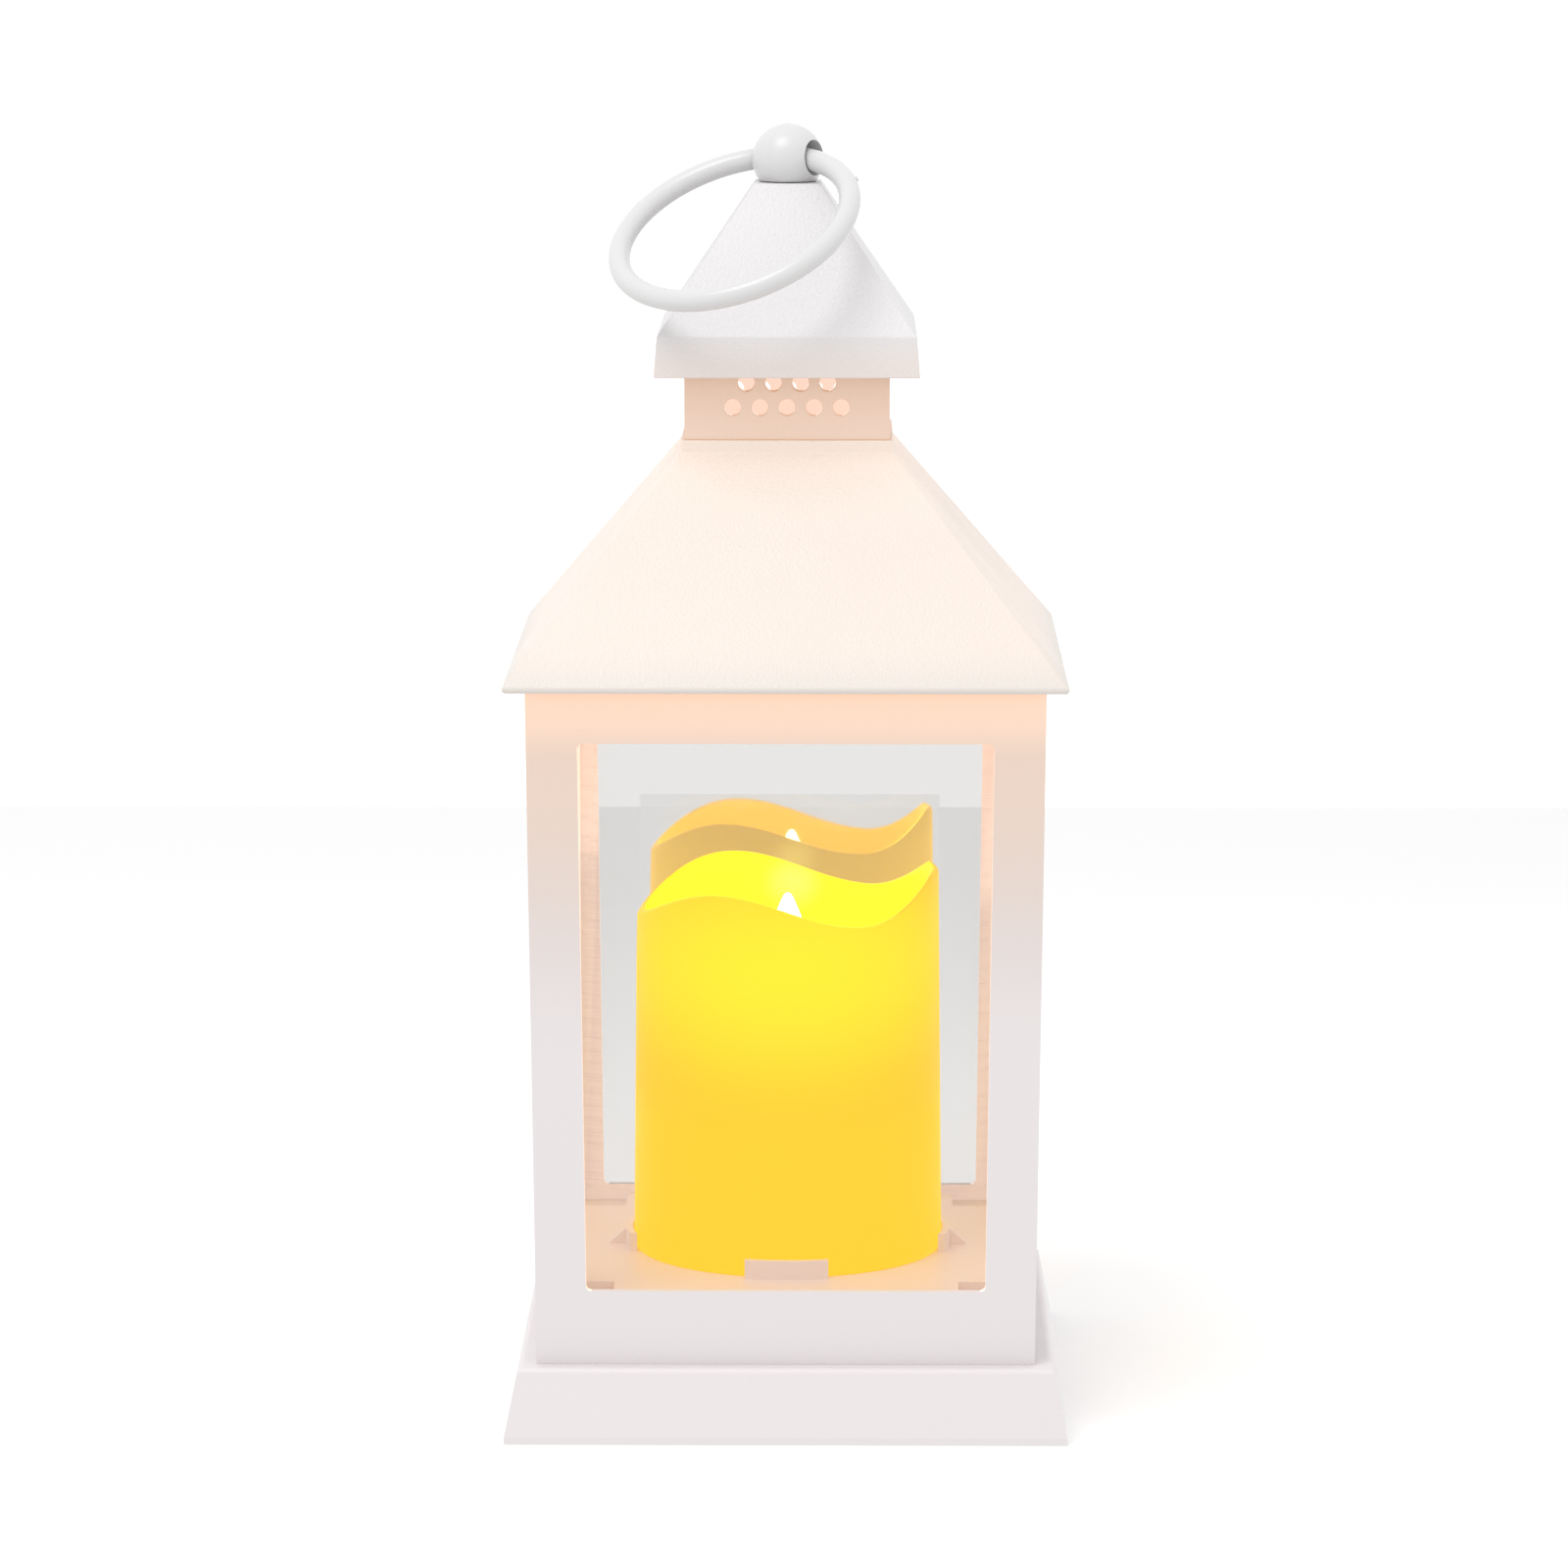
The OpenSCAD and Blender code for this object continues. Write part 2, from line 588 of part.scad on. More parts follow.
// Battery case, screwed under the floor: a bay for the batteries, and one for the board
module battery_box() color("whitesmoke") difference() {
    union() {
        slab([-box_h, box_y[0], box_z[0]], [box_h, box_y[1], box_z[1]]);
        at_corners(ear_at[0], ear_at[1]) disc(ear_r, box_z[1] - box_t, box_z[1]);
        for (s = [-1, 1]) slab([-ear_at[0], s * ear_at[1] - ear_r, box_z[1] - box_t],
            [ear_at[0], s * ear_at[1] + ear_r, box_z[1]]);
    }
    slab([-bay_h, bay_y[0], 0], [bay_h, bay_y[1], box_z[1] - box_t]);
    slab([-bay_h, board_y[0], box_z[0] + box_t], [bay_h, board_y[1], span]);
    slab([-bay_h, box_y[0] - 1, 0], [bay_h, bay_y[0] + 1, hinge_at[1] + knuckle_r + 0.8]);
    slab([-latch_w / 2 - gap, bay_y[1] - 1, 0], [latch_w / 2 + gap, board_y[0] - 0.5, latch_slot_z]);
    for (s = [-1, 1]) translate([s * lead_hole[0], lead_hole[1], lead_z]) rotate([90, 0, 0])
        cylinder(r = lead_hole_r, h = 4, center = true);
    translate([0, hinge_at[0], hinge_at[1]]) rotate([0, 90, 0])
        cylinder(r = hinge_pin_r + hinge_fit, h = span, center = true);
    translate([0, switch_y, box_z[0]])
        cube([knob[0] + switch_travel + 0.8, knob[1] + 0.6, 3 * box_t], center = true);
    at_corners(ear_at[0], ear_at[1]) disc(clear_r, 0, span);
}

module box_screws() color("silver") at_corners(ear_at[0], ear_at[1])
    screw(box_z[1] - box_t, box_t + 3.6);

// Battery door: hinged on two pins along its front edge, with a latch and a finger dip
module battery_door() color("whitesmoke") difference() {
    union() {
        slab([-bay_h + gap, hinge_at[0], box_z[0]], [bay_h - gap, door_y, box_z[0] + box_t]);
        translate([0, hinge_at[0], hinge_at[1]]) rotate([0, 90, 0]) {
            cylinder(r = knuckle_r, h = 2 * (bay_h - gap), center = true);
            cylinder(r = hinge_pin_r, h = 2 * box_h - 0.2, center = true);
        }
        slab([-latch_w / 2, door_y - 1, box_z[0] + 1], [latch_w / 2, door_y + 0.8, box_z[0] + 2.4]);
    }
    translate([0, door_y - 4.5, box_z[0] - 4.4]) rotate([0, 90, 0])
        cylinder(r = 5.2, h = latch_w, center = true);
}

// A battery, with its button at the end it points to
module battery(i) color("dimgray") translate([0, cell_y[i], cell_z])
    rotate([0, cell_way[i] > 0 ? 90 : -90, 0]) {
        tip = plate_x;
        disc(cell_r, tip - cell_l, tip - 1);
        disc(1.9, tip - 1 - bite, tip);
    }
module battery_1() battery(0);
module battery_2() battery(1);
module battery_3() battery(2);

// Contact plates on the end walls: a long one joins two batteries, a short one ends the row
module contact_plates() color("silver") {
    half = 4.4;
    long = cell_pitch / 2 + half;
    for (s = [-1, 1]) {
        joined = (cell_y[1] + cell_y[s > 0 ? 2 : 0]) / 2;
        alone = cell_y[s > 0 ? 0 : 2];
        x = s > 0 ? [plate_x, bay_h] : [-bay_h, -plate_x];
        slab([x[0], joined - long, plate_z[0]], [x[1], joined + long, plate_z[1]]);
        slab([x[0], alone - half, plate_z[0]], [x[1], alone + half, plate_z[1]]);
    }
}

// A coned spring between each battery's flat end and its contact plate
module contact_springs() color("silver") {
    turns = 3.5;
    wire_r = 0.35;
    steps = 56;
    low = cell_l - plate_x + wire_r;
    long = 2 * plate_x - cell_l - 2 * wire_r;
    for (i = [0:2]) translate([0, cell_y[i], cell_z]) rotate(cell_way[i] > 0 ? 180 : 0)
        tube([for (k = [0:steps]) let (t = k / steps, r = 2.4 + 1.5 * t)
            [low + long * t, r * cos(360 * turns * t), r * sin(360 * turns * t)]], wire_r, 1, 6);
}

module circuit_board() color("seagreen")
    slab([-board_h, board_y[0] + board_t, board_z],
        [board_h, board_y[1] - board_t, board_z + board_t]);

module timer_chip() color("black")
    translate([chip_at[0], chip_at[1], board_z + board_t]) cube(chip_size);

// Slide switch: its body hangs from the board, and its knob comes out through the case
module switch_body() color("dimgray") difference() {
    slab([-6.5, switch_y - 2.75, box_z[0] + box_t], [6.5, switch_y + 2.75, board_z]);
    translate([0, switch_y, box_z[0] + box_t])
        cube([slider_l + switch_travel + 0.6, 4.2, 2 * switch_well], center = true);
}

module switch_slider() color("black") translate([switch_travel / 2, switch_y, 0]) {
    slab([-knob[0] / 2, -knob[1] / 2, box_z[0] - 1.2], [knob[0] / 2, knob[1] / 2, box_z[0] + 4]);
    slab([-slider_l / 2, -1.8, box_z[0] + 2], [slider_l / 2, 1.8, box_z[0] + 4]);
}

module red_leads() color("red") {
    tube(red_led_route, lead_r);
    tube(red_cell_route, lead_r);
}

module black_leads() color("black") {
    tube(black_led_route, lead_r);
    tube(black_cell_route, lead_r);
}

base();
body_frame();
pane_front();
pane_back();
pane_left();
pane_right();
roof();
vent_neck();
cap();
finial_ball();
finial_washer();
finial_screw();
hanging_ring();
candle_foot();
candle_sleeve();
flame_diffuser();
led();
candle_screws();
battery_box();
box_screws();
battery_door();
battery_1();
battery_2();
battery_3();
contact_plates();
contact_springs();
circuit_board();
timer_chip();
switch_body();
switch_slider();
red_leads();
black_leads();
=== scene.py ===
"""A hanging lantern of moulded plastic, with clear panes and a battery candle inside."""

import math

import bmesh
import bpy
from bpy.props import FloatProperty, FloatVectorProperty, PointerProperty
from bpy.types import Operator, Panel, PropertyGroup
from mathutils import Matrix, Vector


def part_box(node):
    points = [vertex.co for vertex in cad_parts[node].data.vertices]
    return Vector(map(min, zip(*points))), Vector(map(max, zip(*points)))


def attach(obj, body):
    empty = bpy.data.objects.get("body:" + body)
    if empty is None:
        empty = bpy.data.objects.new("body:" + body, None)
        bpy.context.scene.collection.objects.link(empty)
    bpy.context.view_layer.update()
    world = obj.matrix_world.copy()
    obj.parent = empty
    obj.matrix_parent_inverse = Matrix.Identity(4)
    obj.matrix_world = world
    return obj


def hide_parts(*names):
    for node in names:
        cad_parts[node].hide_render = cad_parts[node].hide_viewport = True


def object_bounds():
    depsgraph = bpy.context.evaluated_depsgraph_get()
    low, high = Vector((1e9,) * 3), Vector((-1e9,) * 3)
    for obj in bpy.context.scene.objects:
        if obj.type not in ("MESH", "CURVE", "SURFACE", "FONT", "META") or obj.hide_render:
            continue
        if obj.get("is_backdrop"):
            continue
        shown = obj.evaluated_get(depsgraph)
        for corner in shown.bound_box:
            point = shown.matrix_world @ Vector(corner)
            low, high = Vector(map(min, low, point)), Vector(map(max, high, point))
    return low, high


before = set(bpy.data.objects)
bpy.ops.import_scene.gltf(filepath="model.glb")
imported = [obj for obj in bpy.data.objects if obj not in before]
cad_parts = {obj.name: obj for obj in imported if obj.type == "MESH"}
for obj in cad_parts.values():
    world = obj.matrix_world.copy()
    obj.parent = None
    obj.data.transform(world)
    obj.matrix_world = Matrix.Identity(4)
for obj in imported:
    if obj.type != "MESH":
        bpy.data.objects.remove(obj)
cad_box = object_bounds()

bl_info = {
    "name": "Candle Lantern",
    "version": (1, 0, 0),
    "blender": (4, 5, 0),
    "location": "View3D > Sidebar > Lantern",
    "description": "A hanging lantern with clear panes and a battery candle",
    "category": "Add Mesh",
}

# Pieces are modelled in millimetres, and new_piece turns them into metres.
MM = 0.001
SHARP = math.radians(26)      # edges sharper than this are rounded
FLAT = math.radians(1)        # faces that meet at less than this are merged
SAME_MM, SAME_M = 1e-4, 1e-6  # vertices closer than this are one
PLASTIC_IOR, PANE_IOR = 1.46, 1.52
BORE_RISE = 0.45              # the ball's bore lies this far above its centre


def box_mm(node):
    """The lowest and highest corner of a CAD node, in millimetres."""
    low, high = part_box(node)
    return low / MM, high / MM


ROOF, NECK, CAP = box_mm("roof"), box_mm("vent_neck"), box_mm("cap")
BALL, SLEEVE, FLAME = (box_mm(node) for node in ("finial_ball", "candle_sleeve",
                                                 "flame_diffuser"))


# ---- Settings ----

def length(name, description, default):
    """A length property, with its default given in millimetres."""
    return FloatProperty(name=name, description=description, default=default * MM, min=0.0,
                         soft_max=4 * default * MM, precision=5, unit="LENGTH",
                         subtype="DISTANCE")


def angle(name, description, default):
    """An angle property, with its default given in degrees."""
    return FloatProperty(name=name, description=description, default=math.radians(default),
                         unit="ROTATION", subtype="ANGLE")


def amount(name, description, default, highest=1.0):
    """A plain factor."""
    return FloatProperty(name=name, description=description, default=default, min=0.0,
                         max=highest, subtype="FACTOR")


def colour(name, description, default):
    """A colour, as linear red, green and blue."""
    return FloatVectorProperty(name=name, description=description, default=default, size=3,
                               min=0.0, max=1.0, subtype="COLOR")


class LanternSizes(PropertyGroup):
    """Sizes of the pieces that are modelled here."""
    edge: length("Edge rounding", "Radius along the edges of the big mouldings", 0.5)
    wall: length("Wall", "Thickness of the mouldings", 1.8)
    roof_rise: FloatProperty(name="Roof rise", default=1.24, min=0.5, max=3.0,
                             description="Rise of the roof for each unit towards its middle")
    collar: length("Collar", "Width of the collar on top of the roof", 39.8)
    cap_flat: length("Cap flat", "Width of the flat on top of the cap", 12.5)
    cap_skirt: length("Cap skirt", "Height of the upright skirt of the cap", 7.6)
    vent: length("Vent", "Diameter of a vent hole", 3.1)
    vent_pitch: length("Vent pitch", "Spacing of the vent holes", 5.07)
    ball: length("Ball", "Diameter of the ball", 13.5)
    bore: length("Bore", "Diameter of the hole through the ball", 6.7)
    finial_turn: angle("Finial turn", "Angle that the ball is turned by", -31.6)
    ring: length("Ring", "Diameter of the ring along the middle of its rod", 45)
    rod: length("Rod", "Diameter of the ring's rod", 4.1)
    ring_droop: angle("Ring droop", "Angle that the ring hangs below level", 33)
    sleeve_wall: length("Candle wall", "Thickness of the candle's sleeve", 1.5)
    rim_top: length("Rim top", "Highest point of the melted rim", 100.2)
    rim_crest: length("Rim crest", "Height of the crest at the left of the rim", 99.1)
    rim_low: length("Rim hollow", "Lowest point of the melted rim", 93)


class LanternLooks(PropertyGroup):
    """Colours and finishes."""
    shell: colour("Shell", "White plastic of the mouldings", (0.64, 0.602, 0.606))
    # Painted shade: the roof, the neck and the cap are the shell's own white plastic in darker
    # copies, the neck darkest where the cap shades it.
    roof_painted_shade: colour("Roof", "White plastic of the roof", (0.57, 0.54, 0.51))
    neck_painted_shade: colour("Neck", "White plastic of the vent neck", (0.30, 0.30, 0.30))
    cap_painted_shade: colour("Cap", "White plastic of the cap", (0.600, 0.587, 0.590))
    # Painted warm shade: a darker, warmer shell colour that stands in for the lamplight near
    # the flame and for the shade on the cap's skirt.
    painted_warm_shade: colour("Warmed shell", "The body's plastic near the flame", (0.54, 0.44, 0.375))
    gloss: colour("Ring and ball", "Glossier white plastic", (0.56, 0.555, 0.555))
    glow: colour("Glow", "Lamplight that comes through the white plastic", (1.0, 0.52, 0.25))
    glow_inside: colour("Glow inside", "Lamplight on the faces inside", (1.0, 0.75, 0.67))
    glow_level: amount("Glow level", "Brightness of that light", 1.0, 4.0)
    grain: length("Grain", "Size of the spark-eroded grain on the slopes", 0.55)
    grain_depth: length("Grain depth", "Depth of that grain", 0.05)
    candle: colour("Candle", "Amber plastic of the candle", (0.16, 0.10, 0.003))
    candle_low: colour("Candle glow, low", "Light near the foot", (0.60, 0.345, 0.0))
    candle_upper: colour("Candle glow, upper", "Light of the upper half",
                         (0.38, 0.215, 0.01))
    candle_high: colour("Candle glow, high", "Light in front of the lamp",
                        (0.90, 0.54, 0.0))
    candle_inside: colour("Candle glow, inside", "Light of the inner faces",
                          (0.88, 0.60, 0.0))
    candle_shaded: colour("Candle glow, shaded", "The less lit inner faces",
                          (0.42, 0.245, 0.0))
    # Painted light: a pool of lamplight painted on the inner wall behind the flame.
    candle_painted_light_pool: colour("Candle glow, patch", "Pale patch behind the flame",
                         (0.90, 0.80, 0.16))
    flame: colour("Flame", "Light of the flame's cover", (1.0, 0.93, 0.62))
    pane_tint: colour("Pane tint", "Light that one face of a pane lets through",
                      (0.912, 0.910, 0.907))
    pane_sheen: colour("Pane sheen", "Colour of what a pane reflects", (0.88, 0.875, 0.87))
    pane_mirror: amount("Pane mirror", "Share that the inner face of a pane reflects", 0.8)
    sleeve_print: colour("Battery sleeve", "Printed sleeve of a battery", (0.025, 0.03, 0.04))
    sleeve_band: colour("Battery band", "Band at the button end", (0.55, 0.23, 0.06))


class LanternStage(PropertyGroup):
    """Camera, floor and lights."""
    camera_place: FloatVectorProperty(name="Camera", description="Where the camera stands",
                                      default=(0.010618, -1.228381, 0.312515), size=3,
                                      unit="LENGTH", subtype="XYZ")
    camera_aim: FloatVectorProperty(name="Aim", description="The point it looks at",
                                    default=(-0.000742, 0.0, 0.11644), size=3,
                                    unit="LENGTH", subtype="XYZ")
    lens: FloatProperty(name="Lens", description="Focal length in millimetres",
                        default=149.15, min=10.0, max=400.0, unit="CAMERA")
    floor: length("Floor", "Half-width of the floor", 639)
    floor_shift: length("Floor shift", "How far back the floor's centre lies", 47)
    floor_colour: colour("Floor colour", "Pale floor", (0.86, 0.86, 0.86))
    # Painted shade: the same floor, darker further back.
    floor_painted_far_shade: colour("Far floor", "The same floor, further back", (0.75, 0.75, 0.75))
    surround: amount("Surround", "Brightness of the white all round", 1.16, 4.0)
    key: FloatProperty(name="Key light", description="Power of the soft lamp above",
                       default=6.0, min=0.0, max=500.0, unit="POWER")
    key_size: length("Key size", "Width of the soft lamp", 700)
    lamp: FloatProperty(name="Candle light", description="Power of its own light",
                        default=0.10, min=0.0, max=10.0, unit="POWER")


# ---- Shapes ----

def turned(degrees, axis="Z"):
    """A turn about an axis through the origin."""
    return Matrix.Rotation(math.radians(degrees), 4, axis)


def moved(x=0, y=0, z=0):
    """A move along the three axes."""
    return Matrix.Translation((x, y, z))


def placed(name, data):
    """A new object in the scene, at the origin."""
    made = bpy.data.objects.new(name, data)
    bpy.context.scene.collection.objects.link(made)
    return made


def meshed(name, bm):
    """A mesh made from bm, which is used up."""
    mesh = bpy.data.meshes.new(name)
    bm.to_mesh(mesh)
    bm.free()
    return mesh


def square_loop(bm, half, z):
    """A level square of edges."""
    made = bmesh.ops.create_circle(bm, cap_ends=False, segments=4, radius=half * math.sqrt(2),
                                   matrix=moved(z=z) @ turned(45))
    return list({edge for vert in made["verts"] for edge in vert.link_edges})


def square_shell(profile):
    """A closed square shell: squares bridged along a profile that returns to its start."""
    bm = bmesh.new()
    loops = [square_loop(bm, half, z) for half, z in profile]
    for lower, upper in zip(loops, loops[1:] + loops[:1]):
        bmesh.ops.bridge_loops(bm, edges=lower + upper)
    return settled(bm)


def settled(bm):
    """bm with its loose seams closed and its faces outward."""
    bmesh.ops.remove_doubles(bm, verts=bm.verts, dist=SAME_MM)
    bmesh.ops.recalc_face_normals(bm, faces=bm.faces)
    return bm


def chain(bm, points):
    """A line of vertices and edges through the points."""
    verts = [bm.verts.new(point) for point in points]
    edges = [bm.edges.new(pair) for pair in zip(verts, verts[1:])]
    return verts, edges


def lathe(profile, steps=64, closed=False):
    """A turned solid from a profile of (radius, height)."""
    bm = bmesh.new()
    points = [(radius, 0, z) for radius, z in profile]
    verts, edges = chain(bm, points)
    if closed:
        edges.append(bm.edges.new((verts[-1], verts[0])))
    bmesh.ops.spin(bm, geom=verts + edges, cent=(0, 0, 0), axis=(0, 0, 1),
                   angle=math.tau, steps=steps, use_merge=True, use_duplicate=False)
    return settled(bm)


def rod(radius, low, high, segments=32, matrix=Matrix.Identity(4), top_radius=None):
    """A capped rod along Z, or a cone."""
    bm = bmesh.new()
    bmesh.ops.create_cone(bm, cap_ends=True, segments=segments, radius1=radius,
                          radius2=radius if top_radius is None else top_radius,
                          depth=high - low,
                          matrix=matrix @ moved(z=(low + high) / 2))
    return bm


def block(low, high):
    """A box between two corners."""
    bm = bmesh.new()
    low, high = Vector(low), Vector(high)
    place = Matrix.Translation((low + high) / 2) @ Matrix.Diagonal((*(high - low), 1))
    bmesh.ops.create_cube(bm, size=1, matrix=place)
    return bm


def gathered(*parts):
    """Several shapes that don't touch, in one mesh."""
    whole = bmesh.new()
    for part in parts:
        mesh = meshed("part", part)
        whole.from_mesh(mesh)
        bpy.data.meshes.remove(mesh)
    return whole


def carved(bm, tool, operation="DIFFERENCE"):
    """bm with the tool's shape cut away, or joined to it."""
    objects = []
    for part in (bm, tool):
        bmesh.ops.recalc_face_normals(part, faces=part.faces)
        objects.append(placed("carving", meshed("carving", part)))
    cut = objects[0].modifiers.new("Cut", "BOOLEAN")
    cut.operation, cut.solver, cut.object = operation, "EXACT", objects[1]
    result = bmesh.new()
    result.from_object(objects[0], bpy.context.evaluated_depsgraph_get())
    for made in objects:
        mesh = made.data
        bpy.data.objects.remove(made)
        bpy.data.meshes.remove(mesh)
    return result


def arc(centre, radius, start, end, steps):
    """Points on an arc in a profile, with its angles in degrees."""
    return [(centre[0] + radius * math.cos(math.radians(start + (end - start) * i / steps)),
             centre[1] + radius * math.sin(math.radians(start + (end - start) * i / steps)))
            for i in range(steps + 1)]


def new_piece(name, bm, body, material, replaces):
    """Makes a finished object in metres from a mesh in millimetres."""
    bmesh.ops.scale(bm, vec=(MM, MM, MM), verts=bm.verts)
    mesh = meshed(name, bm)
    mesh.shade_smooth()
    mesh.set_sharp_from_angle(angle=SHARP)
    mesh.materials.append(material)
    piece = placed(name, mesh)
    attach(piece, body)
    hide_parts(*replaces)
    return piece


def round_edges(piece, radius, segments=3):
    """Rounds the sharp edges of a piece and evens out its shading."""
    bevel = piece.modifiers.new("Rounded edges", "BEVEL")
    bevel.width, bevel.segments = radius, segments
    bevel.limit_method, bevel.angle_limit = "ANGLE", SHARP
    bevel.harden_normals = False
    even = piece.modifiers.new("Even shading", "WEIGHTED_NORMAL")
    even.keep_sharp = True


def dress(node, material, radius=None, segments=2):
    """Gives a CAD node its material, merges its loose triangles and rounds its edges."""
    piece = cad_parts[node]
    piece.data.materials.clear()
    piece.data.materials.append(material)
    if radius:
        weld = piece.modifiers.new("Merge", "WELD")
        weld.merge_threshold = SAME_M
        plain = piece.modifiers.new("Plain faces", "DECIMATE")
        plain.decimate_type, plain.angle_limit = "DISSOLVE", FLAT
        round_edges(piece, radius, segments)
    return piece


# ---- Effects that several materials share ----

class Tree:
    """A node tree under construction."""

    def __init__(self, tree):
        self.tree = tree

    def node(self, kind, inputs=(), **settings):
        """A new shader node with its inputs fed and its settings made."""
        made = self.tree.nodes.new("ShaderNode" + kind)
        for key, value in settings.items():
            setattr(made, key, value)
        for key, value in dict(inputs).items():
            self.feed(value, made.inputs[key])
        return made

    def feed(self, value, socket):
        """Links a socket, or sets it. A colour may come without its alpha."""
        if isinstance(value, bpy.types.NodeSocket):
            self.tree.links.new(value, socket)
        else:
            socket.default_value = (*value, 1.0)[:4] if socket.type == "RGBA" else value

    def maths(self, operation, *values, clamp=False):
        """The result of a sum on single values."""
        return self.node("Math", dict(enumerate(values)), operation=operation,
                         use_clamp=clamp).outputs[0]

    def less(self, value):
        """One less the value."""
        return self.maths("SUBTRACT", 1.0, value)

    def vector(self, operation, *values):
        """Both results of a sum on vectors: a vector and a value."""
        return self.node("VectorMath", dict(enumerate(values)), operation=operation).outputs

    def axes(self, value):
        """The three parts of a vector."""
        return self.node("SeparateXYZ", {0: value}).outputs

    def smooth(self, value, low, high):
        """Zero up to low, one from high, and a smooth rise between them."""
        return self.node("MapRange", {"Value": value, "From Min": low, "From Max": high},
                         interpolation_type="SMOOTHSTEP").outputs[0]

    def mix(self, factor, first, second):
        """A blend of two colours."""
        return self.node("Mix", {0: factor, 6: first, 7: second},
                         data_type="RGBA").outputs[2]


def effect(name, output, build, **inputs):
    """A shared node group, built the first time that it is asked for. It takes a place,
    named Vector, and the named inputs with their defaults, and it gives one value."""
    tree = bpy.data.node_groups.get(name)
    if tree:
        return tree
    tree = bpy.data.node_groups.new(name, "ShaderNodeTree")
    tree.interface.new_socket("Vector", in_out="INPUT", socket_type="NodeSocketVector")
    for label, default in inputs.items():
        kind = "NodeSocketFloat" if isinstance(default, float) else "NodeSocketVector"
        socket = tree.interface.new_socket(label, in_out="INPUT", socket_type=kind)
        socket.default_value = default
    tree.interface.new_socket(output, in_out="OUTPUT", socket_type="NodeSocketFloat")
    inside = Tree(tree)
    given = tree.nodes.new("NodeGroupInput").outputs
    target = tree.nodes.new("NodeGroupOutput")
    inside.feed(build(inside, given), target.inputs[0])
    return tree


def moulded_grain():
    """The fine, even roughness that a spark-eroded mould leaves."""
    def build(t, given):
        scale = t.maths("DIVIDE", 1.0, given["Size"])
        coarse = t.node("TexNoise", {
            "Vector": given["Vector"], "Scale": scale, "Detail": 2.0, "Roughness": 0.65})
        pits = t.node("TexVoronoi", {
            "Vector": given["Vector"], "Scale": scale, "Smoothness": 0.6},
            feature="SMOOTH_F1")
        return t.maths("MULTIPLY_ADD", pits.outputs["Distance"], 0.5, coarse.outputs[0])
    return effect("Moulded grain", "Height", build, Size=0.5 * MM)


def uneven_gloss():
    """Patches that are a little glossier or duller, as on any moulding."""
    def build(t, given):
        scale = t.maths("DIVIDE", 1.0, given["Patch"])
        noise = t.node("TexNoise", {
            "Vector": given["Vector"], "Scale": scale, "Detail": 3.0})
        spread = t.node("MapRange", {
            "Value": noise.outputs[0], "From Min": 0.3, "From Max": 0.7,
            "To Min": given["Low"], "To Max": given["High"]})
        return spread.outputs[0]
    return effect("Uneven gloss", "Roughness", build, Patch=20 * MM, Low=0.35, High=0.45)


def dust_specks():
    """A few tiny dark specks."""
    def build(t, given):
        scale = t.maths("DIVIDE", 1.0, given["Spacing"])
        cells = t.node("TexVoronoi", {
            "Vector": given["Vector"], "Scale": scale})
        reach = t.maths("DIVIDE", given["Size"], given["Spacing"])
        near = t.maths("LESS_THAN", cells.outputs["Distance"], reach)
        parts = t.node("SeparateColor", {"Color": cells.outputs["Color"]})
        some = t.maths("GREATER_THAN", parts.outputs[0], 0.55)
        return t.maths("MULTIPLY", near, some)
    return effect("Dust specks", "Mask", build, Spacing=6 * MM, Size=0.2 * MM)


def height_band():
    """A mask that rises smoothly from one height to another. It falls where Low is above
    High."""
    def build(t, given):
        return t.smooth(t.axes(given["Vector"])[2], given["Low"], given["High"])
    return effect("Height band", "Mask", build, Low=0.0, High=0.1)


def lamp_halo():
    """A mask that falls off with the distance from a centre."""
    def build(t, given):
        away = t.vector("DISTANCE", given["Vector"], given["Centre"])["Value"]
        return t.less(t.smooth(away, given["Near"], given["Far"]))
    return effect("Lamp halo", "Mask", build, Centre=(0, 0, 0.1), Near=0.0, Far=0.05)


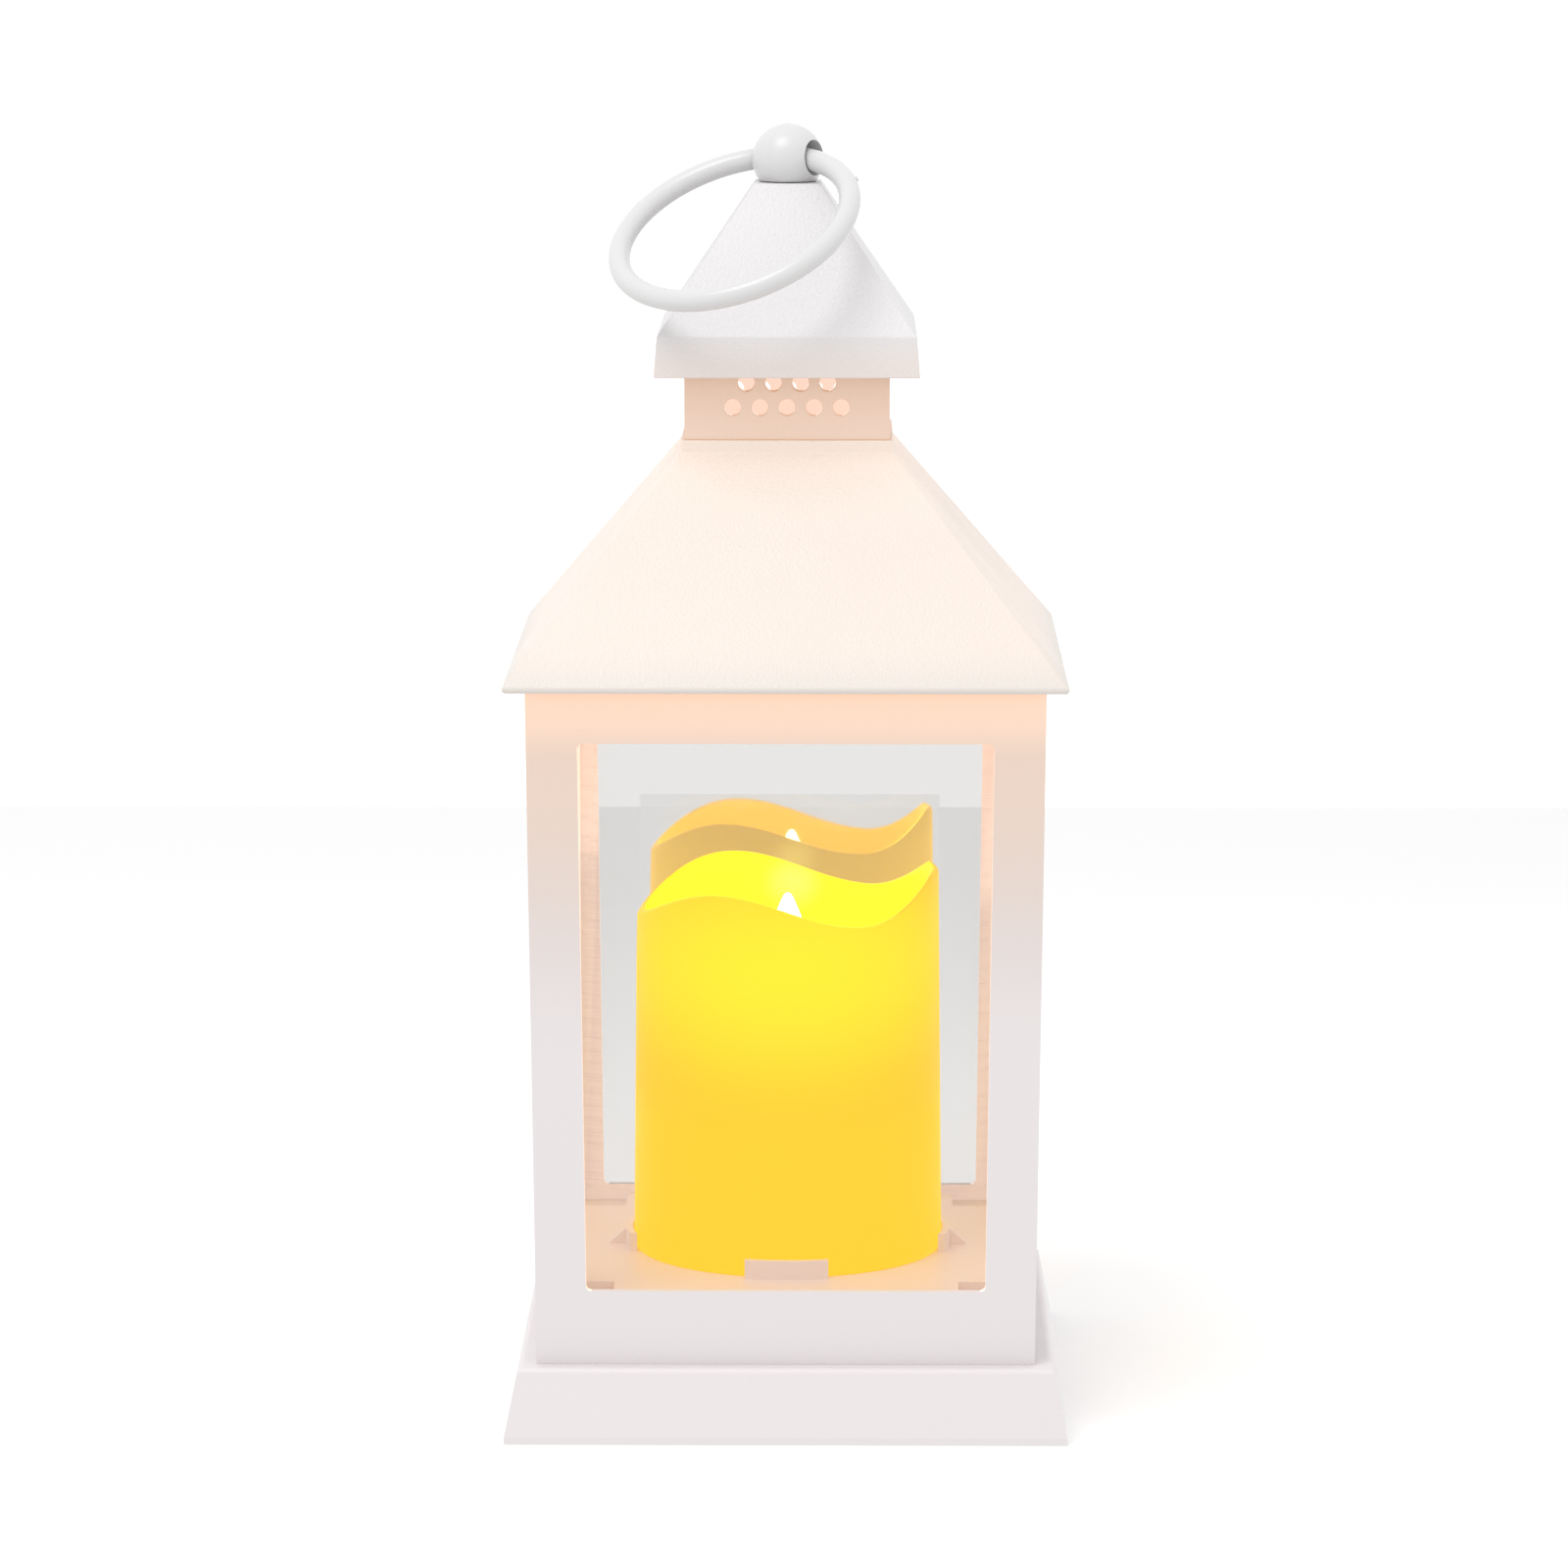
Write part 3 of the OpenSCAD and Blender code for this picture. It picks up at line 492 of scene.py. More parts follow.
class Finish(Tree):
    """A material under construction, with its Principled shader and Object coordinates."""

    def __init__(self, name, colour, roughness, **constants):
        self.material = bpy.data.materials.new(name)
        self.material.use_nodes = True
        super().__init__(self.material.node_tree)
        self.shader = self.tree.nodes["Principled BSDF"]
        self.output = self.tree.nodes["Material Output"]
        self.set("Base Color", colour)
        self.set("Roughness", roughness)
        for key, value in constants.items():
            self.set(key.replace("_", " "), value)
        self.place = self.node("TexCoord").outputs["Object"]

    def set(self, key, value):
        """Sets or links one of the shader's own sockets."""
        self.feed(value, self.shader.inputs[key])

    def effect(self, build, **inputs):
        """The result of a shared effect, on Object coordinates."""
        made = self.node("Group", node_tree=build())
        self.feed(self.place, made.inputs["Vector"])
        for key, value in inputs.items():
            self.feed(value, made.inputs[key])
        return made.outputs[0]

    def band(self, low, high):
        """A mask between two heights in millimetres."""
        return self.effect(height_band, Low=low * MM, High=high * MM)

    def halo(self, centre, near, far):
        """A mask around a point, all in millimetres."""
        return self.effect(lamp_halo, Centre=Vector(centre) * MM, Near=near * MM,
                           Far=far * MM)

    def bump(self, height, depth, strength=1.0):
        """Fine relief, with its depth in metres."""
        made = self.node("Bump", {
            "Height": height, "Distance": depth, "Strength": strength})
        self.set("Normal", made.outputs[0])

    def gloss(self, low, high, patch=0.02):
        """Roughness that varies between low and high, in patches."""
        self.set("Roughness", self.effect(uneven_gloss, Patch=patch, Low=low, High=high))

    def seen_through(self, share, tint=(1, 1, 1)):
        """Leaves only a share of the shader, and lets light straight through the rest."""
        clear = self.node("BsdfTransparent", {"Color": tint})
        both = self.node("MixShader", {
            0: share, 1: clear.outputs[0], 2: self.shader.outputs[0]})
        self.feed(both.outputs[0], self.output.inputs["Surface"])

    def facing_in(self):
        """One where a face looks towards the lantern's upright axis."""
        normal = self.node("NewGeometry").outputs["Normal"]
        level = self.vector("MULTIPLY", self.place, (1, 1, 0))[0]
        outwards = self.vector("DOT_PRODUCT", normal, level)["Value"]
        return self.maths("LESS_THAN", outwards, -0.001)


# ---- Materials ----

def white_plastic(name, looks, glow=(), inside=0.0, grain=0.35, colour=None,
                  gloss=(0.36, 0.46), painted_warm_band=None):
    """Thin white plastic. Each glow is (low, high, level): painted lamplight, as emission,
    that shows through it more and more from one height to another. inside is painted
    lamplight on its inner faces, and the warm band is (low, high, share) of the painted
    warm shade that it turns to, which stands in for lamplight and shade."""
    # speck is a dust colour; lit is a painted lamplight tint for the base colour where the
    # plastic glows.
    speck, lit = (0.45, 0.42, 0.40), (0.86, 0.70, 0.60)
    base = colour or looks.shell
    f = Finish(name, base, 0.4, IOR=PLASTIC_IOR)
    # Painted shade: the base colour turns towards the painted warm shade between two heights.
    if painted_warm_band:
        low, high, share = painted_warm_band
        base = f.mix(f.maths("MULTIPLY", f.band(low, high), share), base, looks.painted_warm_shade)
    specks_and_painted_light = f.mix(f.effect(dust_specks, Spacing=9 * MM, Size=0.16 * MM), base, speck)
    f.gloss(*gloss)
    f.bump(f.effect(moulded_grain, Size=looks.grain), looks.grain_depth * grain)
    # The glow is painted: emission by height stands in for lamplight shining through the
    # plastic.
    if glow:
        light = None
        for low, high, level in glow:
            mask = f.maths("MULTIPLY", f.band(low, high), level * looks.glow_level)
            light = mask if light is None else f.maths("ADD", light, mask)
        shown = f.mix(light, (0, 0, 0), looks.glow)
        if inside:
            shown = f.mix(f.maths("MULTIPLY", f.facing_in(), inside), shown,
                          looks.glow_inside)
        f.set("Emission Color", shown)
        f.set("Emission Strength", 1.0)
        # Painted light: where the plastic glows, its base colour turns partly to the lit tint.
        specks_and_painted_light = f.mix(f.maths("MULTIPLY", light, 0.5, clamp=True), specks_and_painted_light, lit)
    f.set("Base Color", specks_and_painted_light)
    return f.material


def candle_plastic(looks):
    """Amber plastic, lit from inside: deep near the foot and bright yellow at the rim."""
    f = Finish("candle_amber", looks.candle, 0.42, IOR=PLASTIC_IOR, Specular_IOR_Level=0.06,
               Emission_Strength=2.0)
    # The amber's light is painted as emission: deep near the foot, brighter higher up and in
    # front of the lamp, and on its inner faces.
    light = f.mix(f.band(50, 90), looks.candle_low, looks.candle_upper)
    light = f.mix(f.halo((0, -6, 86), 17, 40), light, looks.candle_high)
    inside = f.mix(f.halo((0, 26, 95), 24, 50), looks.candle_shaded, looks.candle_inside)
    light = f.mix(f.facing_in(), light, inside)
    # Painted pool of light on the inner wall behind the flame.
    light = f.mix(f.halo((0.6, 23, 92.5), 1, 8), light, looks.candle_painted_light_pool)
    soot = f.effect(dust_specks, Spacing=2.4 * MM, Size=0.22 * MM)
    soot = f.maths("MULTIPLY", soot, f.less(f.band(27.5, 30)))
    f.set("Base Color", f.mix(soot, looks.candle, (0.02, 0.012, 0.006)))
    f.set("Emission Color", f.mix(soot, light, (0, 0, 0)))
    f.gloss(0.34, 0.46, 12 * MM)
    waves = f.node("TexNoise", {"Vector": f.place, "Scale": 90.0, "Detail": 2.0})
    f.bump(waves.outputs[0], 0.4 * MM, 0.25)
    return f.material


def flame_glow(looks):
    """The frosted flame, white hot in the middle."""
    f = Finish("flame_frost", (0.95, 0.9, 0.75), 0.5)
    rise = f.band(FLAME[0].z, FLAME[0].z + 6)
    f.set("Emission Color", f.mix(rise, (1.0, 0.86, 0.30), looks.flame))
    f.set("Emission Strength", 1.6)
    f.bump(f.effect(moulded_grain, Size=0.3 * MM), 0.01 * MM)
    return f.material


def clear_pane(looks):
    """Thin clear plastic: it lets straight light through, and mirrors the candle a little
    on its inner face. That face is taken as slightly bowed, and its mirror stops short of
    the frame."""
    side, top, bow = (29.3, 30.2), (107.0, 107.5), 0.0175
    f = Finish("pane_clear", looks.pane_sheen, 0.03, Metallic=1.0)
    f.gloss(0.02, 0.05, 30 * MM)
    face = f.node("NewGeometry").outputs
    at = f.axes(f.vector("ABSOLUTE", f.place)[0])
    across = f.maths("MINIMUM", at[0], at[1])
    film = f.maths("MULTIPLY",
                   f.less(f.smooth(across, side[0] * MM, side[1] * MM)),
                   f.less(f.smooth(at[2], top[0] * MM, top[1] * MM)))
    bowed = f.vector("ADD", face["Normal"], (0, 0, bow))[0]
    f.set("Normal", f.vector("NORMALIZE", bowed)[0])
    seen = f.node("LightPath").outputs["Is Camera Ray"]
    direct = f.maths("MULTIPLY", f.maths("MULTIPLY", f.facing_in(), seen), film)
    sheen = f.node("Fresnel", {"IOR": PANE_IOR}).outputs[0]
    share = f.maths("MULTIPLY_ADD", direct, looks.pane_mirror, sheen)
    share = f.maths("MULTIPLY", share, f.less(face["Backfacing"]), clamp=True)
    f.seen_through(share, looks.pane_tint)
    return f.material


def plated(name, colour, roughness=0.28):
    """Zinc or nickel plate, with a fine grain."""
    f = Finish(name, colour, roughness, Metallic=1.0)
    f.gloss(roughness - 0.06, roughness + 0.1, 2 * MM)
    f.bump(f.effect(moulded_grain, Size=0.25 * MM), 0.01 * MM)
    return f.material


def plain_plastic(name, colour, roughness):
    """A small moulded part in one colour."""
    f = Finish(name, colour, roughness)
    f.gloss(roughness - 0.05, roughness + 0.06, 6 * MM)
    f.bump(f.effect(moulded_grain, Size=0.4 * MM), 0.009 * MM)
    return f.material


def zinc():
    """The zinc plate of the washer and the screws, made once."""
    return bpy.data.materials.get("zinc_plate") or plated("zinc_plate", (0.62, 0.62, 0.60))


# ---- Operators ----

def settings(context):
    """The colours and the sizes."""
    return context.scene.lantern_looks, context.scene.lantern_sizes


class LANTERN_OT_base(Operator):
    """Finish the flared base with its ledge, plinth, floor and lugs"""
    bl_idname = "lantern.base"
    bl_label = "Base"

    def execute(self, context):
        looks, sizes = settings(context)
        lit_from, lit_to = 24.2, 25.4       # the floor and what stands on it
        plastic = white_plastic("shell_base", looks, glow=[(lit_from, lit_to, 0.24)])
        dress("base", plastic, sizes.edge, 3)
        return {"FINISHED"}


class LANTERN_OT_body(Operator):
    """Finish the body: four posts with a rail above and below each window"""
    bl_idname = "lantern.body"
    bl_label = "Body"

    def execute(self, context):
        looks, sizes = settings(context)
        # Painted lamplight: the body turns to the painted warm shade and glows towards its
        # header, and its inner faces glow.
        plastic = white_plastic("shell_body", looks, inside=0.56,
                                glow=[(88, 134, 0.12), (128, 140, 0.24)],
                                painted_warm_band=(70, 130, 0.9))
        dress("body_frame", plastic, sizes.edge, 3)
        return {"FINISHED"}


class LANTERN_OT_panes(Operator):
    """Finish the four clear panes"""
    bl_idname = "lantern.panes"
    bl_label = "Panes"

    def execute(self, context):
        clear = clear_pane(context.scene.lantern_looks)
        for side in ("front", "back", "left", "right"):
            dress("pane_" + side, clear)
        return {"FINISHED"}


class LANTERN_OT_roof(Operator):
    """Make the roof: a hollow square pyramid with an eave lip and a collar"""
    bl_idname = "lantern.roof"
    bl_label = "Roof"

    def execute(self, context):
        looks, sizes = settings(context)
        low, high = ROOF
        lip, bevel, collar_wall = 1.1, 0.4, 1.7
        rise, collar = sizes.roof_rise, sizes.collar / MM / 2
        lip_z = low.z + lip
        apex = lip_z + high.x * rise
        level_wall = sizes.wall / MM * math.hypot(1, rise) / rise
        hole = collar - collar_wall
        roof = square_shell([
            (high.x - bevel, low.z), (high.x, low.z + bevel), (high.x, lip_z),
            (collar, apex - collar * rise), (collar, high.z),
            (hole, high.z), (hole, apex - (hole + level_wall) * rise),
            ((apex - low.z) / rise - level_wall, low.z)])
        # Painted shade and painted glow: the roof takes its darker copy of the shell and glows
        # with painted lamplight.
        plastic = white_plastic("roof_painted_shade", looks, colour=looks.roof_painted_shade, grain=1.6,
                                inside=0.3, glow=[(138, 150, 0.11), (165, 186, 0.08)])
        piece = new_piece("roof_moulding", roof, "lantern", plastic, ["roof"])
        round_edges(piece, sizes.edge)
        return {"FINISHED"}


class LANTERN_OT_neck(Operator):
    """Make the neck, a square tube with two rows of vent holes in every side"""
    bl_idname = "lantern.neck"
    bl_label = "Vent neck"

    def execute(self, context):
        looks, sizes = settings(context)
        low, high = NECK
        step, spigot_wall = 1.1, 1.3
        rows = ((6.1, 5), (10.7, 4))        # height above the seam, and number of holes
        seam = ROOF[1].z
        spigot = high.x - step
        bore = spigot - spigot_wall
        neck = square_shell([(spigot, low.z), (spigot, seam), (high.x, seam),
                             (high.x, high.z), (bore, high.z), (bore, low.z)])
        holes = []
        for quarter in (0, 90):
            for rise, count in rows:
                for i in range(count):
                    x = (i - (count - 1) / 2) * sizes.vent_pitch / MM
                    place = turned(quarter) @ moved(x, 0, seam + rise) @ turned(90, "X")
                    holes.append(rod(sizes.vent / MM / 2, -high.x - 1, high.x + 1, 24, place))
        neck = carved(neck, gathered(*holes))
        # Painted shade and painted glow: the neck is painted dark as in the cap's shadow, and
        # glows with painted lamplight.
        plastic = white_plastic("neck_painted_shade", looks, colour=looks.neck_painted_shade, grain=0.5,
                                inside=0.62, glow=[(150, 172, 0.37)])
        piece = new_piece("neck_moulding", neck, "lantern", plastic, ["vent_neck"])
        round_edges(piece, sizes.edge * 0.4, 2)
        return {"FINISHED"}


class LANTERN_OT_cap(Operator):
    """Make the cap: a skirted hollow pyramid with ribs that sit on the neck"""
    bl_idname = "lantern.cap"
    bl_label = "Cap"

    def execute(self, context):
        looks, sizes = settings(context)
        low, high = CAP
        draft, plate_wall, square_hole, stem_hole = 0.6, 2.2, 2.4, 2.58
        wall, flat = sizes.wall / MM, sizes.cap_flat / MM / 2
        shoulder = (high.x - draft, low.z + sizes.cap_skirt / MM)
        rise = (high.z - shoulder[1]) / (shoulder[0] - flat)
        level_wall = wall * math.hypot(1, rise) / rise
        apex = high.z + flat * rise
        inside = shoulder[0] - wall
        plate = high.z - plate_wall
        cap = square_shell([
            (high.x, low.z), shoulder, (flat, high.z), (square_hole, high.z),
            (square_hole, plate),
            ((apex - plate) / rise - level_wall, plate),
            (inside, apex - (inside + level_wall) * rise), (high.x - wall, low.z)])
        cap = carved(cap, rod(stem_hole, plate - 1, high.z + 1, 32))
        neck, neck_top = NECK[1].x, NECK[1].z
        rib_at, thick, gap, bite, hook = 12, 1.6, 0.15, 0.1, 2.4
        outline = [(neck + gap, neck_top - hook), (high.x - wall + bite, neck_top - hook),
                   (inside + bite, low.z + 6.6), (neck - hook, low.z + 11.7),
                   (neck - hook, neck_top), (neck + gap, neck_top)]
        ribs = []
        for quarter in range(4):
            for side in (-rib_at, rib_at):
                rib = bmesh.new()
                verts, _ = chain(rib, [(side - thick / 2, -y, z) for y, z in outline])
                grown = bmesh.ops.extrude_face_region(rib, geom=[rib.faces.new(verts)])
                far = [v for v in grown["geom"] if isinstance(v, bmesh.types.BMVert)]
                bmesh.ops.translate(rib, verts=far, vec=(thick, 0, 0))
                bmesh.ops.transform(rib, matrix=turned(90 * quarter), verts=rib.verts)
                ribs.append(settled(rib))
        cap = carved(cap, gathered(*ribs), "UNION")
        # Painted shade: the cap takes its darker copy of the shell, and below the shoulder its
        # skirt turns to the painted warm shade.
        unlit, lit = 206, 198
        plastic = white_plastic("cap_painted_shade", looks, colour=looks.cap_painted_shade, grain=1.6,
                                glow=[(unlit, lit, 0.05)], painted_warm_band=(unlit, lit, 0.3))
        piece = new_piece("cap_moulding", cap, "lantern", plastic, ["cap"])
        round_edges(piece, sizes.edge * 1.4)
        return {"FINISHED"}


class LANTERN_OT_finial(Operator):
    """Make the ball on its stem, with its parting line, and finish its washer"""
    bl_idname = "lantern.finial"
    bl_label = "Ball finial"

    def execute(self, context):
        looks, sizes = settings(context)
        radius, seat = sizes.ball / MM / 2, CAP[1].z + 0.2
        seam_proud, seam_half, stem, pilot = 0.05, 0.13, 2.5, 0.9
        centre = BALL[1].z - radius
        across = Matrix.Rotation(sizes.finial_turn, 4, "Z") @ turned(90, "Y")
        proud = radius + seam_proud
        half = arc((0, 0), radius, -90, -1.6, 22)
        ball = lathe(half + [(proud, -seam_half), (proud, seam_half)]
                     + [(r, -z) for r, z in reversed(half)], 72)
        bmesh.ops.transform(ball, matrix=moved(z=centre) @ across, verts=ball.verts)
        ball = carved(ball, block((-9, -9, seat - 20), (9, 9, seat)))
        ball = carved(ball, rod(stem, BALL[0].z, seat + 1, 32), "UNION")
        bore = moved(z=centre + BORE_RISE) @ across
        ball = carved(ball, rod(sizes.bore / MM / 2, -20, 20, 48, bore))
        ball = carved(ball, rod(pilot, BALL[0].z - 1, seat + 0.6, 16))
        plastic = white_plastic("gloss_ball", looks, colour=looks.gloss, grain=0.12,
                                gloss=(0.24, 0.32))
        piece = new_piece("ball_moulding", ball, "finial", plastic, ["finial_ball"])
        round_edges(piece, sizes.edge * 0.3, 2)
        dress("finial_washer", zinc(), 0.15 * MM)
        return {"FINISHED"}


class LANTERN_OT_ring(Operator):
    """Make the hanging ring, a round rod bent to a circle"""
    bl_idname = "lantern.ring"
    bl_label = "Ring"

    def execute(self, context):
        looks, sizes = settings(context)
        radius, rod_r = sizes.ring / MM / 2, sizes.rod / MM / 2
        gap, sides, nub, nub_top, nub_at = 1.2, 28, 0.75, 0.45, -48
        split = math.degrees(gap / radius)
        ring = bmesh.new()
        end_face = bmesh.ops.create_circle(
            ring, cap_ends=False, segments=sides, radius=rod_r,
            matrix=turned(split / 2) @ moved(radius) @ turned(90, "X"))
        edges = list({e for v in end_face["verts"] for e in v.link_edges})
        bmesh.ops.spin(ring, geom=end_face["verts"] + edges, cent=(0, 0, 0), axis=(0, 0, 1),
                       angle=math.tau - math.radians(split), steps=144, use_merge=False,
                       use_duplicate=False)
        bmesh.ops.holes_fill(ring, edges=ring.edges, sides=sides)
        settled(ring)
        nub_place = turned(nub_at) @ moved(radius + rod_r * 0.8) @ turned(90, "Y")
        ring = carved(ring, rod(nub, 0, nub, 16, nub_place, nub_top), "UNION")
        droop = (moved(z=BALL[1].z - sizes.ball / MM / 2 + BORE_RISE)
                 @ Matrix.Rotation(sizes.finial_turn, 4, "Z")
                 @ Matrix.Rotation(sizes.ring_droop, 4, "X")
                 @ moved(0, -radius) @ turned(90))
        bmesh.ops.transform(ring, matrix=droop, verts=ring.verts)
        plastic = white_plastic("gloss_ring", looks, colour=looks.gloss, grain=0.1,
                                gloss=(0.2, 0.3))
        new_piece("ring_moulding", ring, "ring", plastic, ["hanging_ring"])
        return {"FINISHED"}


class LANTERN_OT_candle(Operator):
    """Make the candle: its foot, its sleeve with a melted rim, the flame and the lamp"""
    bl_idname = "lantern.candle"
    bl_label = "Candle"

    def rim(self, sizes, x):
        """Height of the melted rim at a distance x to the side."""
        top, crest, low = sizes.rim_top / MM, sizes.rim_crest / MM, sizes.rim_low / MM
        crest_x, hollow_x, fall, climb = -12.5, 15.2, 0.0285, 0.05
        if x < crest_x:
            return min(top, crest - fall * (x - crest_x) ** 2)
        if x > hollow_x:
            return min(top, low + climb * (x - hollow_x) ** 2)
        swing = math.cos(math.pi * (x - crest_x) / (hollow_x - crest_x))
        return (crest + low) / 2 + (crest - low) / 2 * swing

    def execute(self, context):
        looks, sizes = settings(context)
        amber = candle_plastic(looks)
        dress("candle_foot", amber, 0.35 * MM)

        low, high = SLEEVE
        outer, wall, top = high.x, sizes.sleeve_wall / MM, sizes.rim_top / MM
        deck_wall, lamp_hole, corner, draft = 1.5, 2.55, 1.2, 0.75
        deck = FLAME[0].z - deck_wall
        taper = draft / (top + 2 - low.z)
        side = lambda z: outer - taper * (z - low.z)
        soft = wall / 2
        profile = [(side(low.z + (top - soft - low.z) * i / 16),
                    low.z + (top - soft - low.z) * i / 16) for i in range(17)]
        lip = arc((side(top) - soft, top - soft), soft, 0, 180, 8)
        profile += lip[1:]
        floor = deck + deck_wall
        profile += [(side(z) - wall, z) for z in (top - 5, top - 9, floor + corner)]
        profile += arc((side(floor) - wall - corner, floor + corner), corner, 0, -90, 4)[1:]
        profile += [(r, floor) for r in (20, 12, 6)]
        profile += [(lamp_hole, floor), (lamp_hole, deck), (side(deck) - wall, deck),
                    (side(low.z) - wall, low.z)]
        sleeve = lathe(profile, 120, closed=True)
        for vert in sleeve.verts:
            share = (vert.co.z - floor) / (top - floor)
            if share > 0:
                drop = top - self.rim(sizes, vert.co.x)
                vert.co.z -= drop * share
        new_piece("candle_moulding", sleeve, "lantern", amber, ["candle_sleeve"])

        base, tip = FLAME[0].z, FLAME[1].z
        widest, radius, point = base + 4, 3.3, 0.6
        flame = [(0, base + 6.8), (1.75, base + 6.2), (2.6, base + 4), (2.6, base),
                 (radius + 1.4, base), (radius + 1.4, base + 0.8), (radius - 0.3, base + 1.2)]
        flame += [(radius - (radius - point) * (i / 10) ** 1.2,
                   widest + (tip - widest) * i / 10) for i in range(11)]
        flame[-1] = (point, tip - 0.2)
        flame += [(point * 0.6, tip), (0, tip)]
        new_piece("flame_cover", lathe(flame, 48), "lantern", flame_glow(looks),
                  ["flame_diffuser"])
        lens = Finish("lamp_lens", (0.9, 0.85, 0.6), 0.1, Coat_Weight=1.0)
        lens.set("Emission Color",
                 lens.mix(lens.band(83, 88), (0.6, 0.4, 0.1), (1.0, 0.9, 0.6)))
        lens.set("Emission Strength", 1.5)
        dress("led", lens.material)

        light = bpy.data.lights.new("candle_light", "POINT")
        light.energy = context.scene.lantern_stage.lamp
        light.color, light.shadow_soft_size = (1.0, 0.78, 0.56), 3.5 * MM
        lamp = placed("candle_light", light)
        lamp.location = (0, 0, (FLAME[1].z + 5) * MM)
        lamp.visible_glossy = False
        return {"FINISHED"}


class LANTERN_OT_screws(Operator):
    """Make the cross-headed screws under the candle, in the case and in the finial"""
    bl_idname = "lantern.screws"
    bl_label = "Screws"

    head_r, head_h = 2.4, 1.5

    def screw(self, x, y, head_z, tip):
        """A pan-headed screw that points up, with its head's upper face at head_z."""
        rounding, core, crest, pitch = 0.9, 0.85, 1.05, 0.7
        low = head_z - self.head_h
        profile = [(0, low)]
        profile += arc((self.head_r - rounding, low + rounding), rounding, -90, 0, 4)
        profile += [(self.head_r, head_z), (crest, head_z)]
        z = head_z + 0.4
        while z < tip - 1.2:
            profile += [(core, z), (crest, z + 0.25), (core, z + 0.5)]
            z += pitch
        profile += [(core, tip - 0.8), (0.25, tip), (0, tip)]
        screw = lathe(profile, 28)
        for turn in (45, 135):
            blade = rod(1.45, -1, 1.0, 4, moved(z=low) @ turned(turn)
                        @ Matrix.Diagonal((1, 0.24, 1, 1)) @ turned(45), 0.7)
            screw = carved(screw, blade)
        bmesh.ops.translate(screw, verts=screw.verts, vec=(x, y, 0))
        return screw

    def execute(self, context):
        plan = (("candle_screws", "lantern"), ("box_screws", "lantern"),
                ("finial_screw", "finial"))
        for node, body in plan:
            low, high = box_mm(node)
            x, y = high.x - self.head_r, high.y - self.head_r
            places = {(sx * x, sy * y) for sx in (-1, 1) for sy in (-1, 1)}
            places = {(round(a, 3) + 0.0, round(b, 3) + 0.0) for a, b in places}
            screws = gathered(*[self.screw(*place, low.z + self.head_h, high.z)
                                for place in sorted(places)])
            new_piece(node + "_cross", screws, body, zinc(), [node])
        return {"FINISHED"}


class LANTERN_OT_battery_case(Operator):
    """Finish the battery case, its hinged door, and the switch"""
    bl_idname = "lantern.battery_case"
    bl_label = "Battery case"

    def execute(self, context):
        looks = context.scene.lantern_looks
        case = white_plastic("case_white", looks, grain=0.8)
        dress("battery_box", case, 0.3 * MM)
        dress("battery_door", case, 0.3 * MM)
        dress("switch_body", plain_plastic("switch_grey", (0.05, 0.05, 0.055), 0.4), 0.15 * MM)
        dress("switch_slider", plain_plastic("slider_black", (0.02, 0.02, 0.02), 0.35),
              0.2 * MM)
        return {"FINISHED"}


class LANTERN_OT_batteries(Operator):
    """Make the three batteries with their printed sleeves, buttons and flat ends"""
    bl_idname = "lantern.batteries"
    bl_label = "Batteries"

    def sleeve(self, looks, name, way):
        """A dark sleeve with a copper band at the button end and bare metal ends."""
        band_from, stripe_at, stripe_half, middle, printed_half = 9.5, 9.0, 0.5, 2.2, 21.4
        f = Finish(name, looks.sleeve_print, 0.3, Coat_Weight=0.3)
        along = f.maths("MULTIPLY", f.axes(f.place)[0], way)

        def away(at):
            return f.maths("ABSOLUTE", f.maths("SUBTRACT", along, at * MM))

        band = f.maths("GREATER_THAN", along, band_from * MM)
        stripe = f.maths("LESS_THAN", away(stripe_at), stripe_half * MM)
        ends = f.maths("GREATER_THAN", away(middle), printed_half * MM)
        printed = f.mix(band, looks.sleeve_print, looks.sleeve_band)
        printed = f.mix(stripe, printed, (0.75, 0.75, 0.72))
        f.set("Base Color", f.mix(ends, printed, (0.66, 0.66, 0.64)))
        f.set("Metallic", ends)
        f.gloss(0.26, 0.36, 4 * MM)
        return f.material

    def execute(self, context):
        looks = context.scene.lantern_looks
        corner, dip, button = 0.5, 0.25, 1
        for number in (1, 2, 3):
            node = f"battery_{number}"
            low, high = box_mm(node)
            radius = (high.y - low.y) / 2
            way = 1 if high.x > -low.x else -1
            foot = low.x if way > 0 else -high.x
            shoulder = foot + high.x - low.x - button
            profile = [(0, foot + dip), (3.6, foot + dip), (3.9, foot), (radius - 0.6, foot)]
            profile += arc((radius - corner, foot + corner), corner, -90, 0, 4)[1:]
            profile += arc((radius - corner, shoulder - corner), corner, 0, 90, 4)
            profile += [(3.3, shoulder), (3.1, shoulder - dip), (2.1, shoulder - dip),
                        (1.9, shoulder)]
            profile += arc((1.5, shoulder + 0.6), 0.4, 0, 90, 4)
            profile += [(0, shoulder + button)]
            battery = lathe(profile, 64)
            place = (moved(0, (low.y + high.y) / 2, (low.z + high.z) / 2)
                     @ turned(90 * way, "Y"))
            bmesh.ops.transform(battery, matrix=place, verts=battery.verts)
            new_piece(f"cell_{number}", battery, "lantern",
                      self.sleeve(looks, f"sleeve_{number}", way), [node])
        return {"FINISHED"}


